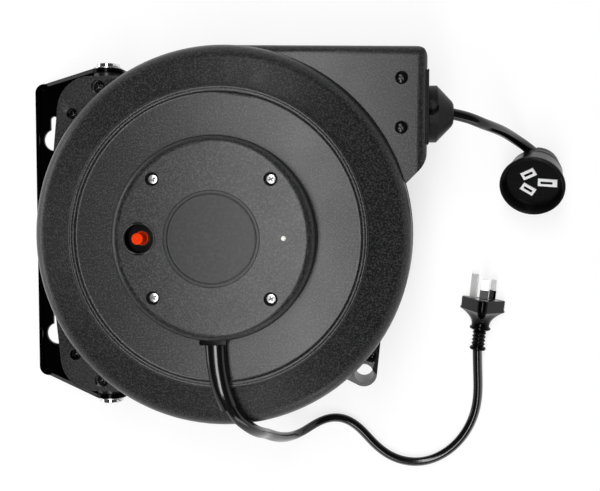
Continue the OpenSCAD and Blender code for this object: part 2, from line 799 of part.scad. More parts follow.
module axle() at_reel() color("#9a9da1") difference() {
    rod(axle_r, -hub_floor, front_depth + 2);
    rod(axle_r - 3.5, front_in - 20, front_depth + 2 + cut);
}

module axle_clip() at_reel() color("#7e8185") ring(axle_r + 4, axle_r, front_depth, front_depth + 2);

module rear_hub() at_reel() color("#303133") difference() {
    union() {
        rod(rear_hub_r, -mid_z, -rear_depth);
        rod(rear_hub_r + rear_flange_w, -rear_depth - wall, -rear_depth);
    }
    ring(rear_hub_r - wall, axle_r + 4, -hub_floor, -rear_depth + cut);
    rod(axle_r + 5, -hub_floor + 4.5, -rear_depth + cut);
    rod(axle_r, -hub_floor, -rear_depth);
    for (turn = [45:90:315]) rotate([0, 0, turn])
        translate([rear_screw_at, 0, 0]) rod(1.7, -rear_depth - wall - cut, -rear_depth + cut);
}

module rear_hub_screws() at_reel() color("#8f9296") for (turn = [45:90:315]) rotate([0, 0, turn])
    translate([rear_screw_at, 0, 0]) mirror([0, 0, 1])
        screw(rear_depth + wall + 1.8, 3.2, 1.8, 1.5, rear_in);

module spring_case() at_reel() color("#7b7e82") difference() {
    rod(spring_case_r, -hub_floor, -rear_depth - 2);
    rod(spring_case_r - spring_case_t, -hub_floor + spring_case_t, -rear_depth - 2 + cut);
    rod(hub_tube_r - 1, -hub_floor - cut, -hub_floor + 2 * spring_case_t);
}

function spiral(off, steps) = [for (i = [0:steps])
    let (r = spring_in_r + (spring_out_r - spring_in_r) * i / steps + off) [r * cos(18 * i), r * sin(18 * i)]];

module power_spring() at_reel() color("#5c5f63") {
    steps = spring_turns * 20;
    translate([0, 0, -hub_floor + 3]) linear_extrude(rear_hub_h - 8)
        polygon(concat(spiral(0, steps), backwards(spiral(spring_t, steps))));
}

module pawl_pin() at_reel() color("#9a9da1") translate([pawl_at, 0, 0])
    rod(pawl_pin_r, -rear_in - 1.5, -pin_top);

module pawl_spring() at_reel() color("#85888c") translate([pawl_at, 0, 0])
    ring(pawl_pin_r + 2.2, pawl_pin_r + 0.4, -rear_in, -ratchet_z - 0.7);

// ---- electrics under the front panel ----

module brush_slots(grow) {
    for (i = [0:2])
        translate([-2 - grow, carrier_r + ring_t + free_gap, ring_z0 + i * ring_pitch + ring_w / 2 - 1])
            cube([4 + 2 * grow, 9, 2]);
}

module brush_holder() at_reel() color("#54483a") difference() {
    translate([-8, carrier_r + ring_t + 2, flange_z + 1]) cube([16, 18, front_in - flange_z - 1]);
    brush_slots(0);
}

module brushes() at_reel() color("#2c2c2e") brush_slots(0);

module circuit_breaker() at_reel() color("#18181a") translate([-breaker_at, 0, 0]) difference() {
    union() {
        translate([-8, -7, breaker_bottom]) cube([16, 14, breaker_top - breaker_bottom]);
        rod(neck_r, breaker_top - cut, well_floor);
    }
    rod(button_r + 0.4, breaker_top - 5.5 - button_travel, well_floor + cut);
}

module breaker_collar() at_reel() color("#c43a1c") translate([-breaker_at, 0, 0])
    ring(collar_r, button_r + run_play, well_floor, well_floor + 3);

module reset_button() at_reel() color("#e2451f") translate([-breaker_at, 0, 0])
    rod(button_r, breaker_top - 5, hub_top + button_rise);

module hub_cover() at_reel() color("#3c3d3f") {
    ring_r = label_r + 0.4;
    difference() {
        rotate_extrude($fn = 120) polygon(concat(
            [[0, front_depth], [hub_r, front_depth]],
            arc([hub_r - hub_edge_r, hub_top - hub_edge_r], hub_edge_r, 0, 90, 6),
            [[0, hub_top]]
        ));
        difference() {
            rotate_extrude($fn = 120) polygon(concat(
                [[0, front_depth - cut], [hub_r - hub_wall, front_depth - cut]],
                arc([hub_r - hub_edge_r, hub_top - hub_edge_r], hub_edge_r - hub_wall, 0, 90, 5),
                [[0, hub_top - hub_wall]]
            ));
            for (turn = [45:90:315]) rotate([0, 0, turn])
                translate([hub_screw_at * sqrt(2), 0, 0]) rod(hub_sink_r + 1.8, front_depth, hub_top);
            translate([-breaker_at, 0, 0]) rod(well_r + hub_wall, well_floor - hub_wall, hub_top);
        }
        rod(ring_r, hub_top - label_t, hub_top + cut);
        for (turn = [45:90:315]) rotate([0, 0, turn]) translate([hub_screw_at * sqrt(2), 0, 0]) {
            rod(hub_sink_r, hub_top - hub_screw_sink, hub_top + cut);
            rod(1.7, front_depth - cut, hub_top);
        }
        translate([-breaker_at, 0, 0]) {
            rod(well_r, well_floor, hub_top + cut);
            rod(neck_r, well_floor - hub_wall - cut, well_floor + cut);
        }
        translate([lens_at, 0.6, 0]) rod(lens_r, hub_top - hub_wall - cut, hub_top + cut);
        translate([-gland_half_w, -hub_r - cut, gland_z])
            cube([2 * gland_half_w, hub_r + cut - gland_in, gland_h]);
    }
}

module label_disc() at_reel() color("#2b2c2e") rod(label_r, hub_top - label_t, hub_top);

module hub_screws() at_reel() color("#b9bcc0") for (turn = [45:90:315]) rotate([0, 0, turn])
    translate([hub_screw_at * sqrt(2), 0, 0])
        screw(hub_top - hub_screw_sink + 2, hub_screw_head_r, 2, 1.5, front_in);

module power_indicator() at_reel() color("#c8c4b4") translate([lens_at, 0.6, 0])
    rod(lens_r, hub_top - hub_wall - 2, hub_top + 0.4);

// ---- supply lead ----

module lead_gland() at_reel() color("#1e1f21")
    translate([-gland_half_w, -gland_out, gland_z]) cube([2 * gland_half_w, gland_out - gland_in, gland_h]);

module lead_sleeve() color("#0e0e10")
    sweep(sleeve_points, [0, -1, 0], sleeve_end_dir,
          [sleeve_w, sleeve_t], [sleeve_w - 2.2, sleeve_t - 1.5], 12);

module supply_lead() color("#121214")
    sweep(lead_points, sleeve_end_dir, [sin(plug_turn), cos(plug_turn), 0],
          [lead_w, lead_t], [lead_w, lead_t], 10);

// frame of the plug: Z' along its axis towards the pins, with Y' up off the table
module at_plug() {
    translate(plug_end) rotate([0, 0, -plug_turn]) rotate([-90, 0, 0]) rotate([0, 0, 180]) children();
}

module plug_face(r, corner) {
    hull() for (turn = [90, 210, 330]) rotate([0, 0, turn])
        translate([r - corner, 0]) circle(r = corner, $fn = 32);
}

module plug_body() color("#0e0e10") at_plug() {
    collar_z = relief_len;
    taper_z = collar_z + collar_len;
    slab_z = taper_z + taper_len;
    rib_step = (relief_len - 2) / (ribs + 1);
    rod(relief_d / 2, 0, collar_z + 0.2);
    rod(end_ring_d / 2, 0, 2);
    for (i = [1:ribs]) rod(rib_d / 2, 0.8 + i * rib_step, 2.3 + i * rib_step);
    rod(collar_d / 2, collar_z, taper_z);
    hull() {
        rod(neck_d / 2, taper_z, taper_z + taper_len * 0.45, $fn = 32);
        translate([0, 0, slab_z - 0.5]) linear_extrude(0.5) plug_face(plug_r * 0.9, plug_corner_r);
    }
    translate([0, 0, slab_z]) linear_extrude(slab_t) plug_face(plug_r, plug_corner_r);
}

module pin_place(turn, at) {
    rotate([0, 0, turn]) translate([at, 0, plug_len]) children();
}

module plug_pins() color("#b4b6b8") at_plug() {
    for (turn = plug_live_turns) pin_place(turn, live_at)
        translate([-pin_t / 2, -pin_w / 2, 0]) cube([pin_t, pin_w, pin_len]);
    pin_place(plug_earth_turn, earth_at)
        translate([-pin_w / 2, -pin_t / 2, 0]) cube([pin_w, pin_t, earth_len]);
}

module pin_sleeves() color("#101012") at_plug() for (turn = plug_live_turns)
    pin_place(turn, live_at) difference() {
        translate([-pin_t / 2 - pin_sleeve_t, -pin_w / 2 - pin_sleeve_t, 0])
            cube([pin_t + 2 * pin_sleeve_t, pin_w + 2 * pin_sleeve_t, pin_sleeve_len]);
        translate([-pin_t / 2, -pin_w / 2, -cut]) cube([pin_t, pin_w, pin_sleeve_len + 2 * cut]);
    }

// ---- drum ----

module drum_core() at_reel() color("#46484b") difference() {
    union() {
        ring(drum_r, drum_r - drum_wall, -drum_half, drum_half);
        rod(hub_tube_r, -tube_rear, tube_front);
        rod(drum_r - drum_wall + 0.5, -3, 3);
    }
    rod(tube_in_r, -tube_rear - cut, tube_front + cut);
    for (turn = [0:60:300]) rotate([0, 0, turn]) translate([31, 0, 0]) rod(8, -3 - cut, 3 + cut);
    drum_screw_places() for (s = [-1, 1]) translate([0, 0, s * (drum_half - 3)])
        rod(drum_screw_r, -3 - cut, 3 + cut);
}

module drum_screw_places() {
    for (turn = [30:60:330]) rotate([0, 0, turn]) translate([drum_r - drum_wall / 2, 0, 0]) children();
}

module drum_flange() {
    difference() {
        ring(flange_r, flange_in_r, drum_half, flange_z);
        drum_screw_places() rod(drum_screw_r, drum_half - cut, flange_z + cut);
        for (turn = [0:60:300]) rotate([0, 0, turn])
            translate([flange_r - 35, 0, 0]) rod(14, drum_half - cut, flange_z + cut);
    }
}

module front_flange() at_reel() color("#46484b") drum_flange();

module rear_flange() at_reel() color("#46484b") mirror([0, 0, 1]) drum_flange();

module drum_screws() at_reel() color("#8f9296") for (m = [0, 1]) mirror([0, 0, m]) drum_screw_places()
    screw(flange_z + 1.6, 2.8, 1.6, drum_screw_r, drum_half - 5);

module ring_carrier() at_reel() color("#6a5b45")
    ring(carrier_r, hub_tube_r, flange_z + 0.5, ring_z0 + 2 * ring_pitch + ring_w + 1.5);

module slip_rings() at_reel() color("#b98a4c") for (i = [0:2])
    ring(carrier_r + ring_t, carrier_r, ring_z0 + i * ring_pitch, ring_z0 + i * ring_pitch + ring_w);

module front_bush() at_reel() color("#b08d57")
    ring(tube_in_r, axle_r + run_play, tube_front - bush_len, tube_front);

module rear_bush() at_reel() color("#b08d57")
    ring(tube_in_r, axle_r + run_play, -tube_rear, -tube_rear + bush_len);

module ratchet_wheel() at_reel() color("#9a9da1") difference() {
    translate([0, 0, -ratchet_z]) linear_extrude(ratchet_t) polygon([for (i = [0:ratchet_teeth - 1], k = [0, 1])
        polar(ratchet_r - tooth_h * k, (i + 0.1 * k) * tooth_step)]);
    rod(flange_in_r - 4, -ratchet_z - cut, -ratchet_z + ratchet_t + cut);
}

module wound_cord() at_reel() color("#141416") ring(wind_r, drum_r, -drum_half, drum_half);

// pawl drawn engaged in a tooth about its pin, then swung out by pawl_lift
module pawl() at_reel() color("#a4a7ab") translate([pawl_at, 0, 0]) rotate([0, 0, pawl_lift]) difference() {
    pin = [pawl_at, 0];
    translate([0, 0, -ratchet_z]) linear_extrude(ratchet_z - pawl_z) {
        circle(r = pawl_pin_r + 3);
        polygon([
            polar(ratchet_r - 3.1, -1.85 * tooth_step) - pin, polar(ratchet_r + 2.7, -1.96 * tooth_step) - pin,
            [4, -4.4], [-5.6, 1], polar(ratchet_r + 1.3, -1.04 * tooth_step) - pin
        ]);
    }
    rod(pawl_pin_r + run_play, -ratchet_z - cut, -pawl_z + cut);
}

// ---- cord, its stop and its socket ----

module stop_solid() {
    end_half = stop_len / 2;
    rise_half = end_half - 1.1;
    rotate([0, 90, 0]) difference() {
        rotate_extrude() polygon([
            [0, -end_half], [stop_end_r, -end_half], [stop_end_r + 2, -rise_half], [stop_r, -stop_band / 2],
            [stop_r, stop_band / 2], [stop_end_r + 2, rise_half], [stop_end_r, end_half], [0, end_half]
        ]);
        rod(cord_r, -end_half - cut, end_half + cut);
    }
}

// one screw enters from the front and the other from the back
module stop_screw_places() {
    for (turn = [0, 180]) rotate([turn, 0, 0]) translate([0, stop_screw_at, 0]) children();
}

module stop_half(front) at_reel() translate([stop_x, cord_y, 0]) rotate([stop_roll, 0, 0]) difference() {
    intersection() {
        stop_solid();
        half_space(front);
    }
    stop_screw_places() {
        rod(1.5, -8, 8 + cut);
        rod(stop_sink_r, 8, 40);
    }
}

module stop_front_half() color("#232426") stop_half(true);

module stop_rear_half() color("#232426") stop_half(false);

module stop_screws() at_reel() color("#1b1b1d") translate([stop_x, cord_y, 0]) rotate([stop_roll, 0, 0])
    stop_screw_places() screw(10, stop_sink_r - 1.1, 2, 1.5, -7.5);

module inner_cord() at_reel() color("#121214") translate([cord_in_x, cord_y, 0]) rotate([0, 90, 0])
    cylinder(r = cord_r, h = stop_out_x - cord_in_x);

module outlet_cord() color("#121214")
    sweep(outlet_points, [1, 0, 0], socket_dir, [cord_d, cord_d], [cord_d, cord_d], 10);

module at_socket() {
    translate(socket_at)
        rotate([0, 0, socket_lean]) rotate([0, socket_tilt, 0]) rotate([0, 0, -socket_lean]) children();
}

module socket_body() color("#1c1d1f") at_socket() difference() {
    rotate_extrude() polygon([
        [0, -socket_len], [socket_back_r, -socket_len], [socket_back_r + 0.6, -socket_len + 2],
        [socket_r - 0.6, -socket_band - 1], [socket_r, -socket_band], [socket_r, -0.8],
        [socket_r - 0.8, 0], [0, 0]
    ]);
    rotate_extrude() polygon([
        [0, -recess_depth - face_t], [recess_r, -recess_depth - face_t], [recess_r, -recess_depth],
        [socket_r - socket_wall, 0], [socket_r - socket_wall, cut], [0, cut]
    ]);
    rod(socket_bore_r, -socket_len - cut, -recess_depth);
}

// place where the cord's end sits in the cap, with Z' along the cord's heading
module at_entry() {
    lean = acos(socket_dir[2] / norm(socket_dir));
    translate(outlet_points[len(outlet_points) - 1])
        rotate([0, 0, atan2(socket_dir[1], socket_dir[0])]) rotate([0, lean, 0]) children();
}

module socket_cap() color("#18191b") difference() {
    at_socket() rotate_extrude() polygon([
        [0, -socket_len - cap_len], [cap_r - 4, -socket_len - cap_len], [cap_r - 1, -socket_len - cap_len + 3],
        [cap_r, -socket_len], [0, -socket_len]
    ]);
    at_socket() rod(cap_r - 9, -socket_len - cap_len + 4, -socket_len + cut);
    at_entry() rod(cord_r + 0.6, -14, 0);
}

module block_place(turn, at) {
    rotate([0, 0, turn]) translate([at, 0, -recess_depth]) children();
}

module insulator(w, l) {
    translate([-w / 2, -l / 2, -face_t]) cube([w, l, face_t + 0.8]);
}

module all_blocks() {
    for (turn = socket_live_turns) block_place(turn, live_at) insulator(6.8, 11.5);
    block_place(0, earth_at + 0.8) insulator(15, 6.6);
}

module all_slots(deep) {
    for (turn = socket_live_turns) block_place(turn, live_at)
        translate([-1, -3.6, -deep]) cube([2, 7.2, deep + 2]);
    block_place(0, earth_at) translate([-4.6, -1, -deep]) cube([9.2, 2, deep + 2]);
}

module socket_face() color("#141416") at_socket() difference() {
    rod(recess_r, -recess_depth - face_t, -recess_depth);
    all_blocks();
}

module socket_blocks() color("#e9e9e6") at_socket() difference() {
    all_blocks();
    all_slots(face_t + cut);
}

module socket_contacts() color("#b98a4c") at_socket() {
    deep = face_t + 9;
    for (turn = socket_live_turns) block_place(turn, live_at)
        translate([1, -3.2, -deep]) cube([0.8, 6.4, deep - face_t]);
    block_place(0, earth_at) translate([-4, 1, -deep]) cube([8, 0.8, deep - face_t]);
}

// ---- guide rollers ----

module roller() {
    ring(roller_r, roller_axle_r + run_play, -roller_half, roller_half);
}

module upper_roller() at_reel() color("#4a4b4d") translate([roller_x, cord_y + roller_up, 0]) roller();

module lower_roller() at_reel() color("#4a4b4d") translate([roller_x, cord_y - roller_down, 0]) roller();

wall_bracket();
arm_bushes();
rear_shell();
front_shell();
pivot_inserts();
pivot_bolts();
pivot_washers();
pivot_lock_screws();
shell_screws();
roller_axles();
outlet_frame();
axle();
axle_clip();
rear_hub();
rear_hub_screws();
spring_case();
power_spring();
pawl_pin();
pawl_spring();
brush_holder();
brushes();
circuit_breaker();
breaker_collar();
hub_cover();
label_disc();
hub_screws();
power_indicator();
lead_gland();
lead_sleeve();
supply_lead();
plug_body();
plug_pins();
pin_sleeves();
drum_core();
front_flange();
rear_flange();
drum_screws();
ring_carrier();
slip_rings();
front_bush();
rear_bush();
ratchet_wheel();
wound_cord();
pawl();
stop_front_half();
stop_rear_half();
stop_screws();
inner_cord();
outlet_cord();
socket_body();
socket_cap();
socket_face();
socket_blocks();
socket_contacts();
upper_roller();
lower_roller();
reset_button();
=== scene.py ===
import json
import math

import bmesh
import bpy
from mathutils import Matrix, Vector


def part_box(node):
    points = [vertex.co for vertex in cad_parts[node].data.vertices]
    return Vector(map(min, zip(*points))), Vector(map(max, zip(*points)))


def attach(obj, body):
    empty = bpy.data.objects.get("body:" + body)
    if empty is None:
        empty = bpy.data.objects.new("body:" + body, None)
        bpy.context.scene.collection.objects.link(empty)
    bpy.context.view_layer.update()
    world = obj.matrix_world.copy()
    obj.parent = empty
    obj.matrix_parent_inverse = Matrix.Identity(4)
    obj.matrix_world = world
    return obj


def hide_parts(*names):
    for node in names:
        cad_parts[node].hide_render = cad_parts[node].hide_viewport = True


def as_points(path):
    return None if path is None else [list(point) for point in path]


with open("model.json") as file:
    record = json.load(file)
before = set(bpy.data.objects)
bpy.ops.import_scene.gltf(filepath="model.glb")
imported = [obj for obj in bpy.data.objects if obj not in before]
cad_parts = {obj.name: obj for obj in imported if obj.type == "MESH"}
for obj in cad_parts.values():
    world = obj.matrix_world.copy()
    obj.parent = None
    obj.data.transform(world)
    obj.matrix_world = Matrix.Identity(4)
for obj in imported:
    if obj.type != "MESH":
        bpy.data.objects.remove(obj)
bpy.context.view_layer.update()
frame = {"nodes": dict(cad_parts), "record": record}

scene = bpy.context.scene
scene.view_settings.view_transform = "Standard"

mm = 0.001
reelAxis = Vector((0.129, 0, 0.08))
bodyOf = {node: body for body, nodes in frame["record"]["behaviour"]["bodies"].items() for node in nodes}
slotOf = {part["node"]: part["material_slot"] for part in frame["record"]["subparts"]}

# ---- camera ----

cameraSet = {
    "place": (0.24007, 0.02656, 0.732),
    "yaw": 0.085,        # radians about Y
    "pitch": -0.053,     # radians about X
    "lens": 50.7,
    "sensor": 36,
}


def makeCamera():
    camera = bpy.data.objects.new("viewCamera", bpy.data.cameras.new("viewCamera"))
    scene.collection.objects.link(camera)
    camera.data.lens = cameraSet["lens"]
    camera.data.sensor_width = cameraSet["sensor"]
    camera.data.sensor_fit = "HORIZONTAL"
    camera.data.clip_start = 0.02
    turn = Matrix.Rotation(cameraSet["yaw"], 4, "Y") @ Matrix.Rotation(cameraSet["pitch"], 4, "X")
    camera.matrix_world = Matrix.Translation(cameraSet["place"]) @ turn
    scene.camera = camera


makeCamera()
print("camera made")

# ---- shared shader groups ----


def addNode(tree, kind, inputs=None, **settings):
    node = tree.nodes.new(kind)
    for name, value in settings.items():
        setattr(node, name, value)
    for name, value in (inputs or {}).items():
        node.inputs[name].default_value = value
    return node


def newGroup(name, inputs, outputs):
    group = bpy.data.node_groups.new(name, "ShaderNodeTree")
    for label, value in inputs.items():
        socket = group.interface.new_socket(label, in_out="INPUT", socket_type="NodeSocketFloat")
        socket.default_value = value
    for label in outputs:
        group.interface.new_socket(label, in_out="OUTPUT", socket_type="NodeSocketFloat")
    return group, group.nodes.new("NodeGroupInput"), group.nodes.new("NodeGroupOutput")


def makePebbleGroup():
    # fine moulded grain: Height for a bump, the second output for the tips painted lighter (partly random
    # tone, partly a painted highlight on each pebble), Mottle for broad patches
    group, given, result = newGroup("pebbleGrain", {"Scale": 1100}, ("Height", "Speck", "Mottle"))
    link = group.links.new
    place = addNode(group, "ShaderNodeTexCoord")
    fine = addNode(group, "ShaderNodeTexNoise", {"Detail": 2.0, "Roughness": 0.55})
    cells = addNode(group, "ShaderNodeTexVoronoi", {"Randomness": 1.0}, feature="SMOOTH_F1")
    broad = addNode(group, "ShaderNodeTexNoise", {"Scale": 22, "Detail": 3.0, "Roughness": 0.6})
    join = addNode(group, "ShaderNodeMath", operation="SUBTRACT")
    speckAndGlint = addNode(group, "ShaderNodeMapRange", {"From Min": 0.44, "From Max": 0.7})
    for texture in (fine, cells, broad):
        link(place.outputs["Object"], texture.inputs["Vector"])
    for texture in (fine, cells):
        link(given.outputs["Scale"], texture.inputs["Scale"])
    link(fine.outputs["Fac"], join.inputs[0])
    link(cells.outputs["Distance"], join.inputs[1])
    link(fine.outputs["Fac"], speckAndGlint.inputs["Value"])
    link(join.outputs[0], result.inputs["Height"])
    link(speckAndGlint.outputs["Result"], result.inputs["Speck"])
    link(broad.outputs["Fac"], result.inputs["Mottle"])
    return group


def makeMarksGroup():
    # handling marks: thin scratches in two directions and scattered dust
    group, given, result = newGroup("handlingMarks", {"Scale": 60, "Amount": 0.5}, ("Mask", "Dust"))
    link = group.links.new
    place = addNode(group, "ShaderNodeTexCoord")
    masks = []
    for turn, stretch in ((0.5, 18), (2.1, 26)):
        lay = addNode(group, "ShaderNodeMapping")
        lay.inputs["Rotation"].default_value = (0.2, 0.3, turn)
        lay.inputs["Scale"].default_value = (1, stretch, 1)
        noise = addNode(group, "ShaderNodeTexNoise", {"Detail": 2.0, "Roughness": 0.5})
        mask = addNode(group, "ShaderNodeMapRange", {"From Min": 0.66, "From Max": 0.74})
        link(place.outputs["Object"], lay.inputs["Vector"])
        link(lay.outputs["Vector"], noise.inputs["Vector"])
        link(given.outputs["Scale"], noise.inputs["Scale"])
        link(noise.outputs["Fac"], mask.inputs["Value"])
        masks.append(mask)
    both = addNode(group, "ShaderNodeMath", operation="MAXIMUM")
    weak = addNode(group, "ShaderNodeMath", operation="MULTIPLY")
    spots = addNode(group, "ShaderNodeTexVoronoi", {"Scale": 240})
    dust = addNode(group, "ShaderNodeMapRange", {"From Min": 0.12, "From Max": 0.05})
    link(masks[0].outputs["Result"], both.inputs[0])
    link(masks[1].outputs["Result"], both.inputs[1])
    link(both.outputs[0], weak.inputs[0])
    link(given.outputs["Amount"], weak.inputs[1])
    link(place.outputs["Object"], spots.inputs["Vector"])
    link(spots.outputs["Distance"], dust.inputs["Value"])
    link(weak.outputs[0], result.inputs["Mask"])
    link(dust.outputs["Result"], result.inputs["Dust"])
    return group


pebbleGrain = makePebbleGroup()
handlingMarks = makeMarksGroup()

# ---- finishes ----


def newFinish(name):
    material = bpy.data.materials.new(name)
    material.use_nodes = True
    return material, material.node_tree, material.node_tree.nodes["Principled BSDF"]


def placeGroup(tree, group, **values):
    node = addNode(tree, "ShaderNodeGroup", node_tree=group)
    for label, value in values.items():
        node.inputs[label].default_value = value
    return node


def spread(tree, source, low, high):
    node = addNode(tree, "ShaderNodeMapRange", {"To Min": low, "To Max": high})
    tree.links.new(source, node.inputs["Value"])
    return node.outputs["Result"]


def blendColours(tree, factor, low, high):
    node = addNode(tree, "ShaderNodeMix", data_type="RGBA")
    node.inputs["A"].default_value = (*low, 1)
    node.inputs["B"].default_value = (*high, 1)
    tree.links.new(factor, node.inputs["Factor"])
    return node.outputs["Result"]


def addBump(tree, shader, height, strength, distance):
    bump = addNode(tree, "ShaderNodeBump", {"Strength": strength, "Distance": distance})
    tree.links.new(height, bump.inputs["Height"])
    tree.links.new(bump.outputs["Normal"], shader.inputs["Normal"])


def plasticFinish(name, look):
    material, tree, shader = newFinish(name)
    grain = placeGroup(tree, pebbleGrain, Scale=look["grain"])
    marks = placeGroup(tree, handlingMarks, Amount=look["marks"])
    # body colour lighter on the grain's tips: partly random tone, partly a painted highlight on each pebble
    body = blendColours(tree, grain.outputs["Speck"], look["dark"], look["light"])
    worn = addNode(tree, "ShaderNodeMix", data_type="RGBA")
    worn.inputs["B"].default_value = (*look["worn"], 1)
    tree.links.new(body, worn.inputs["A"])
    tree.links.new(marks.outputs["Mask"], worn.inputs["Factor"])
    tree.links.new(worn.outputs["Result"], shader.inputs["Base Color"])
    rough = spread(tree, grain.outputs["Mottle"], look["rough"] - 0.06, look["rough"] + 0.06)
    tree.links.new(rough, shader.inputs["Roughness"])
    shader.inputs["Specular IOR Level"].default_value = look["shine"]
    addBump(tree, shader, grain.outputs["Height"], look["bump"], look["depth"])
    return material


def glossFinish(name, look):
    material, tree, shader = newFinish(name)
    marks = placeGroup(tree, handlingMarks, Scale=look["marksScale"], Amount=look["marks"])
    waves = placeGroup(tree, pebbleGrain, Scale=look["peel"])
    colour = blendColours(tree, marks.outputs["Dust"], look["colour"], look["dust"])
    tree.links.new(colour, shader.inputs["Base Color"])
    rough = spread(tree, marks.outputs["Mask"], look["rough"], look["rough"] + 0.25)
    tree.links.new(rough, shader.inputs["Roughness"])
    shader.inputs["Specular IOR Level"].default_value = look["shine"]
    addBump(tree, shader, waves.outputs["Height"], look["bump"], look["depth"])
    return material


def metalFinish(name, look):
    material, tree, shader = newFinish(name)
    marks = placeGroup(tree, handlingMarks, Scale=look["marksScale"], Amount=look["marks"])
    grain = placeGroup(tree, pebbleGrain, Scale=look["grain"])
    colour = blendColours(tree, grain.outputs["Mottle"], look["dark"], look["light"])
    tree.links.new(colour, shader.inputs["Base Color"])
    shader.inputs["Metallic"].default_value = look["metal"]
    rough = spread(tree, marks.outputs["Mask"], look["rough"], look["rough"] + 0.3)
    tree.links.new(rough, shader.inputs["Roughness"])
    addBump(tree, shader, grain.outputs["Height"], look["bump"], look["depth"])
    return material


def lensFinish(name, look):
    material, tree, shader = newFinish(name)
    grain = placeGroup(tree, pebbleGrain, Scale=look["grain"])
    colour = blendColours(tree, grain.outputs["Mottle"], look["dark"], look["light"])
    tree.links.new(colour, shader.inputs["Base Color"])
    shader.inputs["Roughness"].default_value = look["rough"]
    shader.inputs["Transmission Weight"].default_value = look["clear"]
    addBump(tree, shader, grain.outputs["Height"], look["bump"], look["depth"])
    return material


casingLook = {"grain": 820, "dark": (0.006, 0.0061, 0.0063), "light": (0.05, 0.0503, 0.0506),
              "worn": (0.05, 0.05, 0.051), "rough": 0.33, "shine": 0.36, "marks": 0.1,
              "bump": 0.35, "depth": 0.00009}
innerLook = {"grain": 1500, "dark": (0.008, 0.008, 0.0084), "light": (0.014, 0.014, 0.0144),
             "worn": (0.03, 0.03, 0.031), "rough": 0.3, "shine": 0.3, "marks": 0.2,
             "bump": 0.1, "depth": 0.0001}
labelLook = {"grain": 420, "dark": (0.014, 0.0142, 0.0144), "light": (0.026, 0.0262, 0.0264),
             "worn": (0.03, 0.03, 0.031), "rough": 0.36, "shine": 0.3, "marks": 0.15,
             "bump": 0.1, "depth": 0.00008}
stopLook = {"grain": 900, "dark": (0.006, 0.0061, 0.0063), "light": (0.011, 0.0111, 0.0113),
            "worn": (0.03, 0.03, 0.031), "rough": 0.42, "shine": 0.13, "marks": 0.2,
            "bump": 0.12, "depth": 0.0001}
socketLook = {"grain": 1000, "dark": (0.003, 0.003, 0.0032), "light": (0.006, 0.006, 0.0062),
              "worn": (0.02, 0.02, 0.021), "rough": 0.28, "shine": 0.12, "marks": 0.2,
              "bump": 0.06, "depth": 0.0001}
# near-black look for painted shade on the walls and floors of recesses
recessShadeLook = {"grain": 1500, "dark": (0.001, 0.001, 0.001), "light": (0.002, 0.002, 0.002),
              "worn": (0.006, 0.006, 0.006), "rough": 0.45, "shine": 0.06, "marks": 0.1,
              "bump": 0.05, "depth": 0.0001}
whiteLook = {"grain": 900, "dark": (0.92, 0.92, 0.91), "light": (0.96, 0.96, 0.95),
             "worn": (0.8, 0.8, 0.78), "rough": 0.38, "shine": 0.5, "marks": 0.15,
             "bump": 0.05, "depth": 0.0001}
buttonLook = {"grain": 800, "dark": (0.78, 0.035, 0.0), "light": (0.88, 0.06, 0.002),
              "worn": (0.55, 0.02, 0.006), "rough": 0.5, "shine": 0.06, "marks": 0.1,
              "bump": 0.05, "depth": 0.0001}
bracketLook = {"colour": (0.0006, 0.0006, 0.0006), "dust": (0.002, 0.002, 0.002), "rough": 0.16,
               "shine": 0.05,
               "marksScale": 40, "marks": 0.3, "peel": 300,
               "bump": 0.05, "depth": 0.0002}
cordLook = {"colour": (0.0018, 0.0018, 0.0019), "dust": (0.006, 0.006, 0.006), "rough": 0.16, "shine": 0.55,
            "marksScale": 80, "marks": 0.2, "peel": 260,
            "bump": 0.06, "depth": 0.0002}
plugLook = {"colour": (0.0012, 0.0012, 0.0013), "dust": (0.005, 0.005, 0.005), "rough": 0.12, "shine": 0.12,
            "marksScale": 90, "marks": 0.2, "peel": 420,
            "bump": 0.05, "depth": 0.00015}
blackScrewLook = {"colour": (0.003, 0.003, 0.0031), "dust": (0.01, 0.01, 0.01), "rough": 0.22, "shine": 0.3,
                  "marksScale": 200, "marks": 0.3, "peel": 1200,
                  "bump": 0.1, "depth": 0.0001}
zincLook = {"metal": 1.0, "grain": 1500, "dark": (0.4, 0.405, 0.41), "light": (0.62, 0.625, 0.63),
            "rough": 0.36,
            "marksScale": 300, "marks": 0.6, "bump": 0.15, "depth": 0.00006}
chromeLook = {"metal": 1.0, "grain": 600, "dark": (0.7, 0.705, 0.715), "light": (0.82, 0.825, 0.83),
              "rough": 0.08,
              "marksScale": 200, "marks": 0.3, "bump": 0.02, "depth": 0.0001}
steelLook = {"metal": 1.0, "grain": 1200, "dark": (0.4, 0.405, 0.41), "light": (0.55, 0.555, 0.56),
             "rough": 0.28,
             "marksScale": 220, "marks": 0.6, "bump": 0.08, "depth": 0.00008}
brassLook = {"metal": 1.0, "grain": 1100, "dark": (0.6, 0.42, 0.18), "light": (0.78, 0.58, 0.3),
             "rough": 0.27,
             "marksScale": 220, "marks": 0.6, "bump": 0.08, "depth": 0.00008}
pinLook = {"metal": 0.4, "grain": 1000, "dark": (0.84, 0.84, 0.835), "light": (0.92, 0.92, 0.91),
           "rough": 0.42,
           "marksScale": 300, "marks": 0.5, "bump": 0.05, "depth": 0.00008}
lensLook = {"grain": 500, "dark": (0.72, 0.7, 0.64), "light": (0.9, 0.88, 0.82), "rough": 0.12,
            "clear": 0.35, "bump": 0.05, "depth": 0.0001}

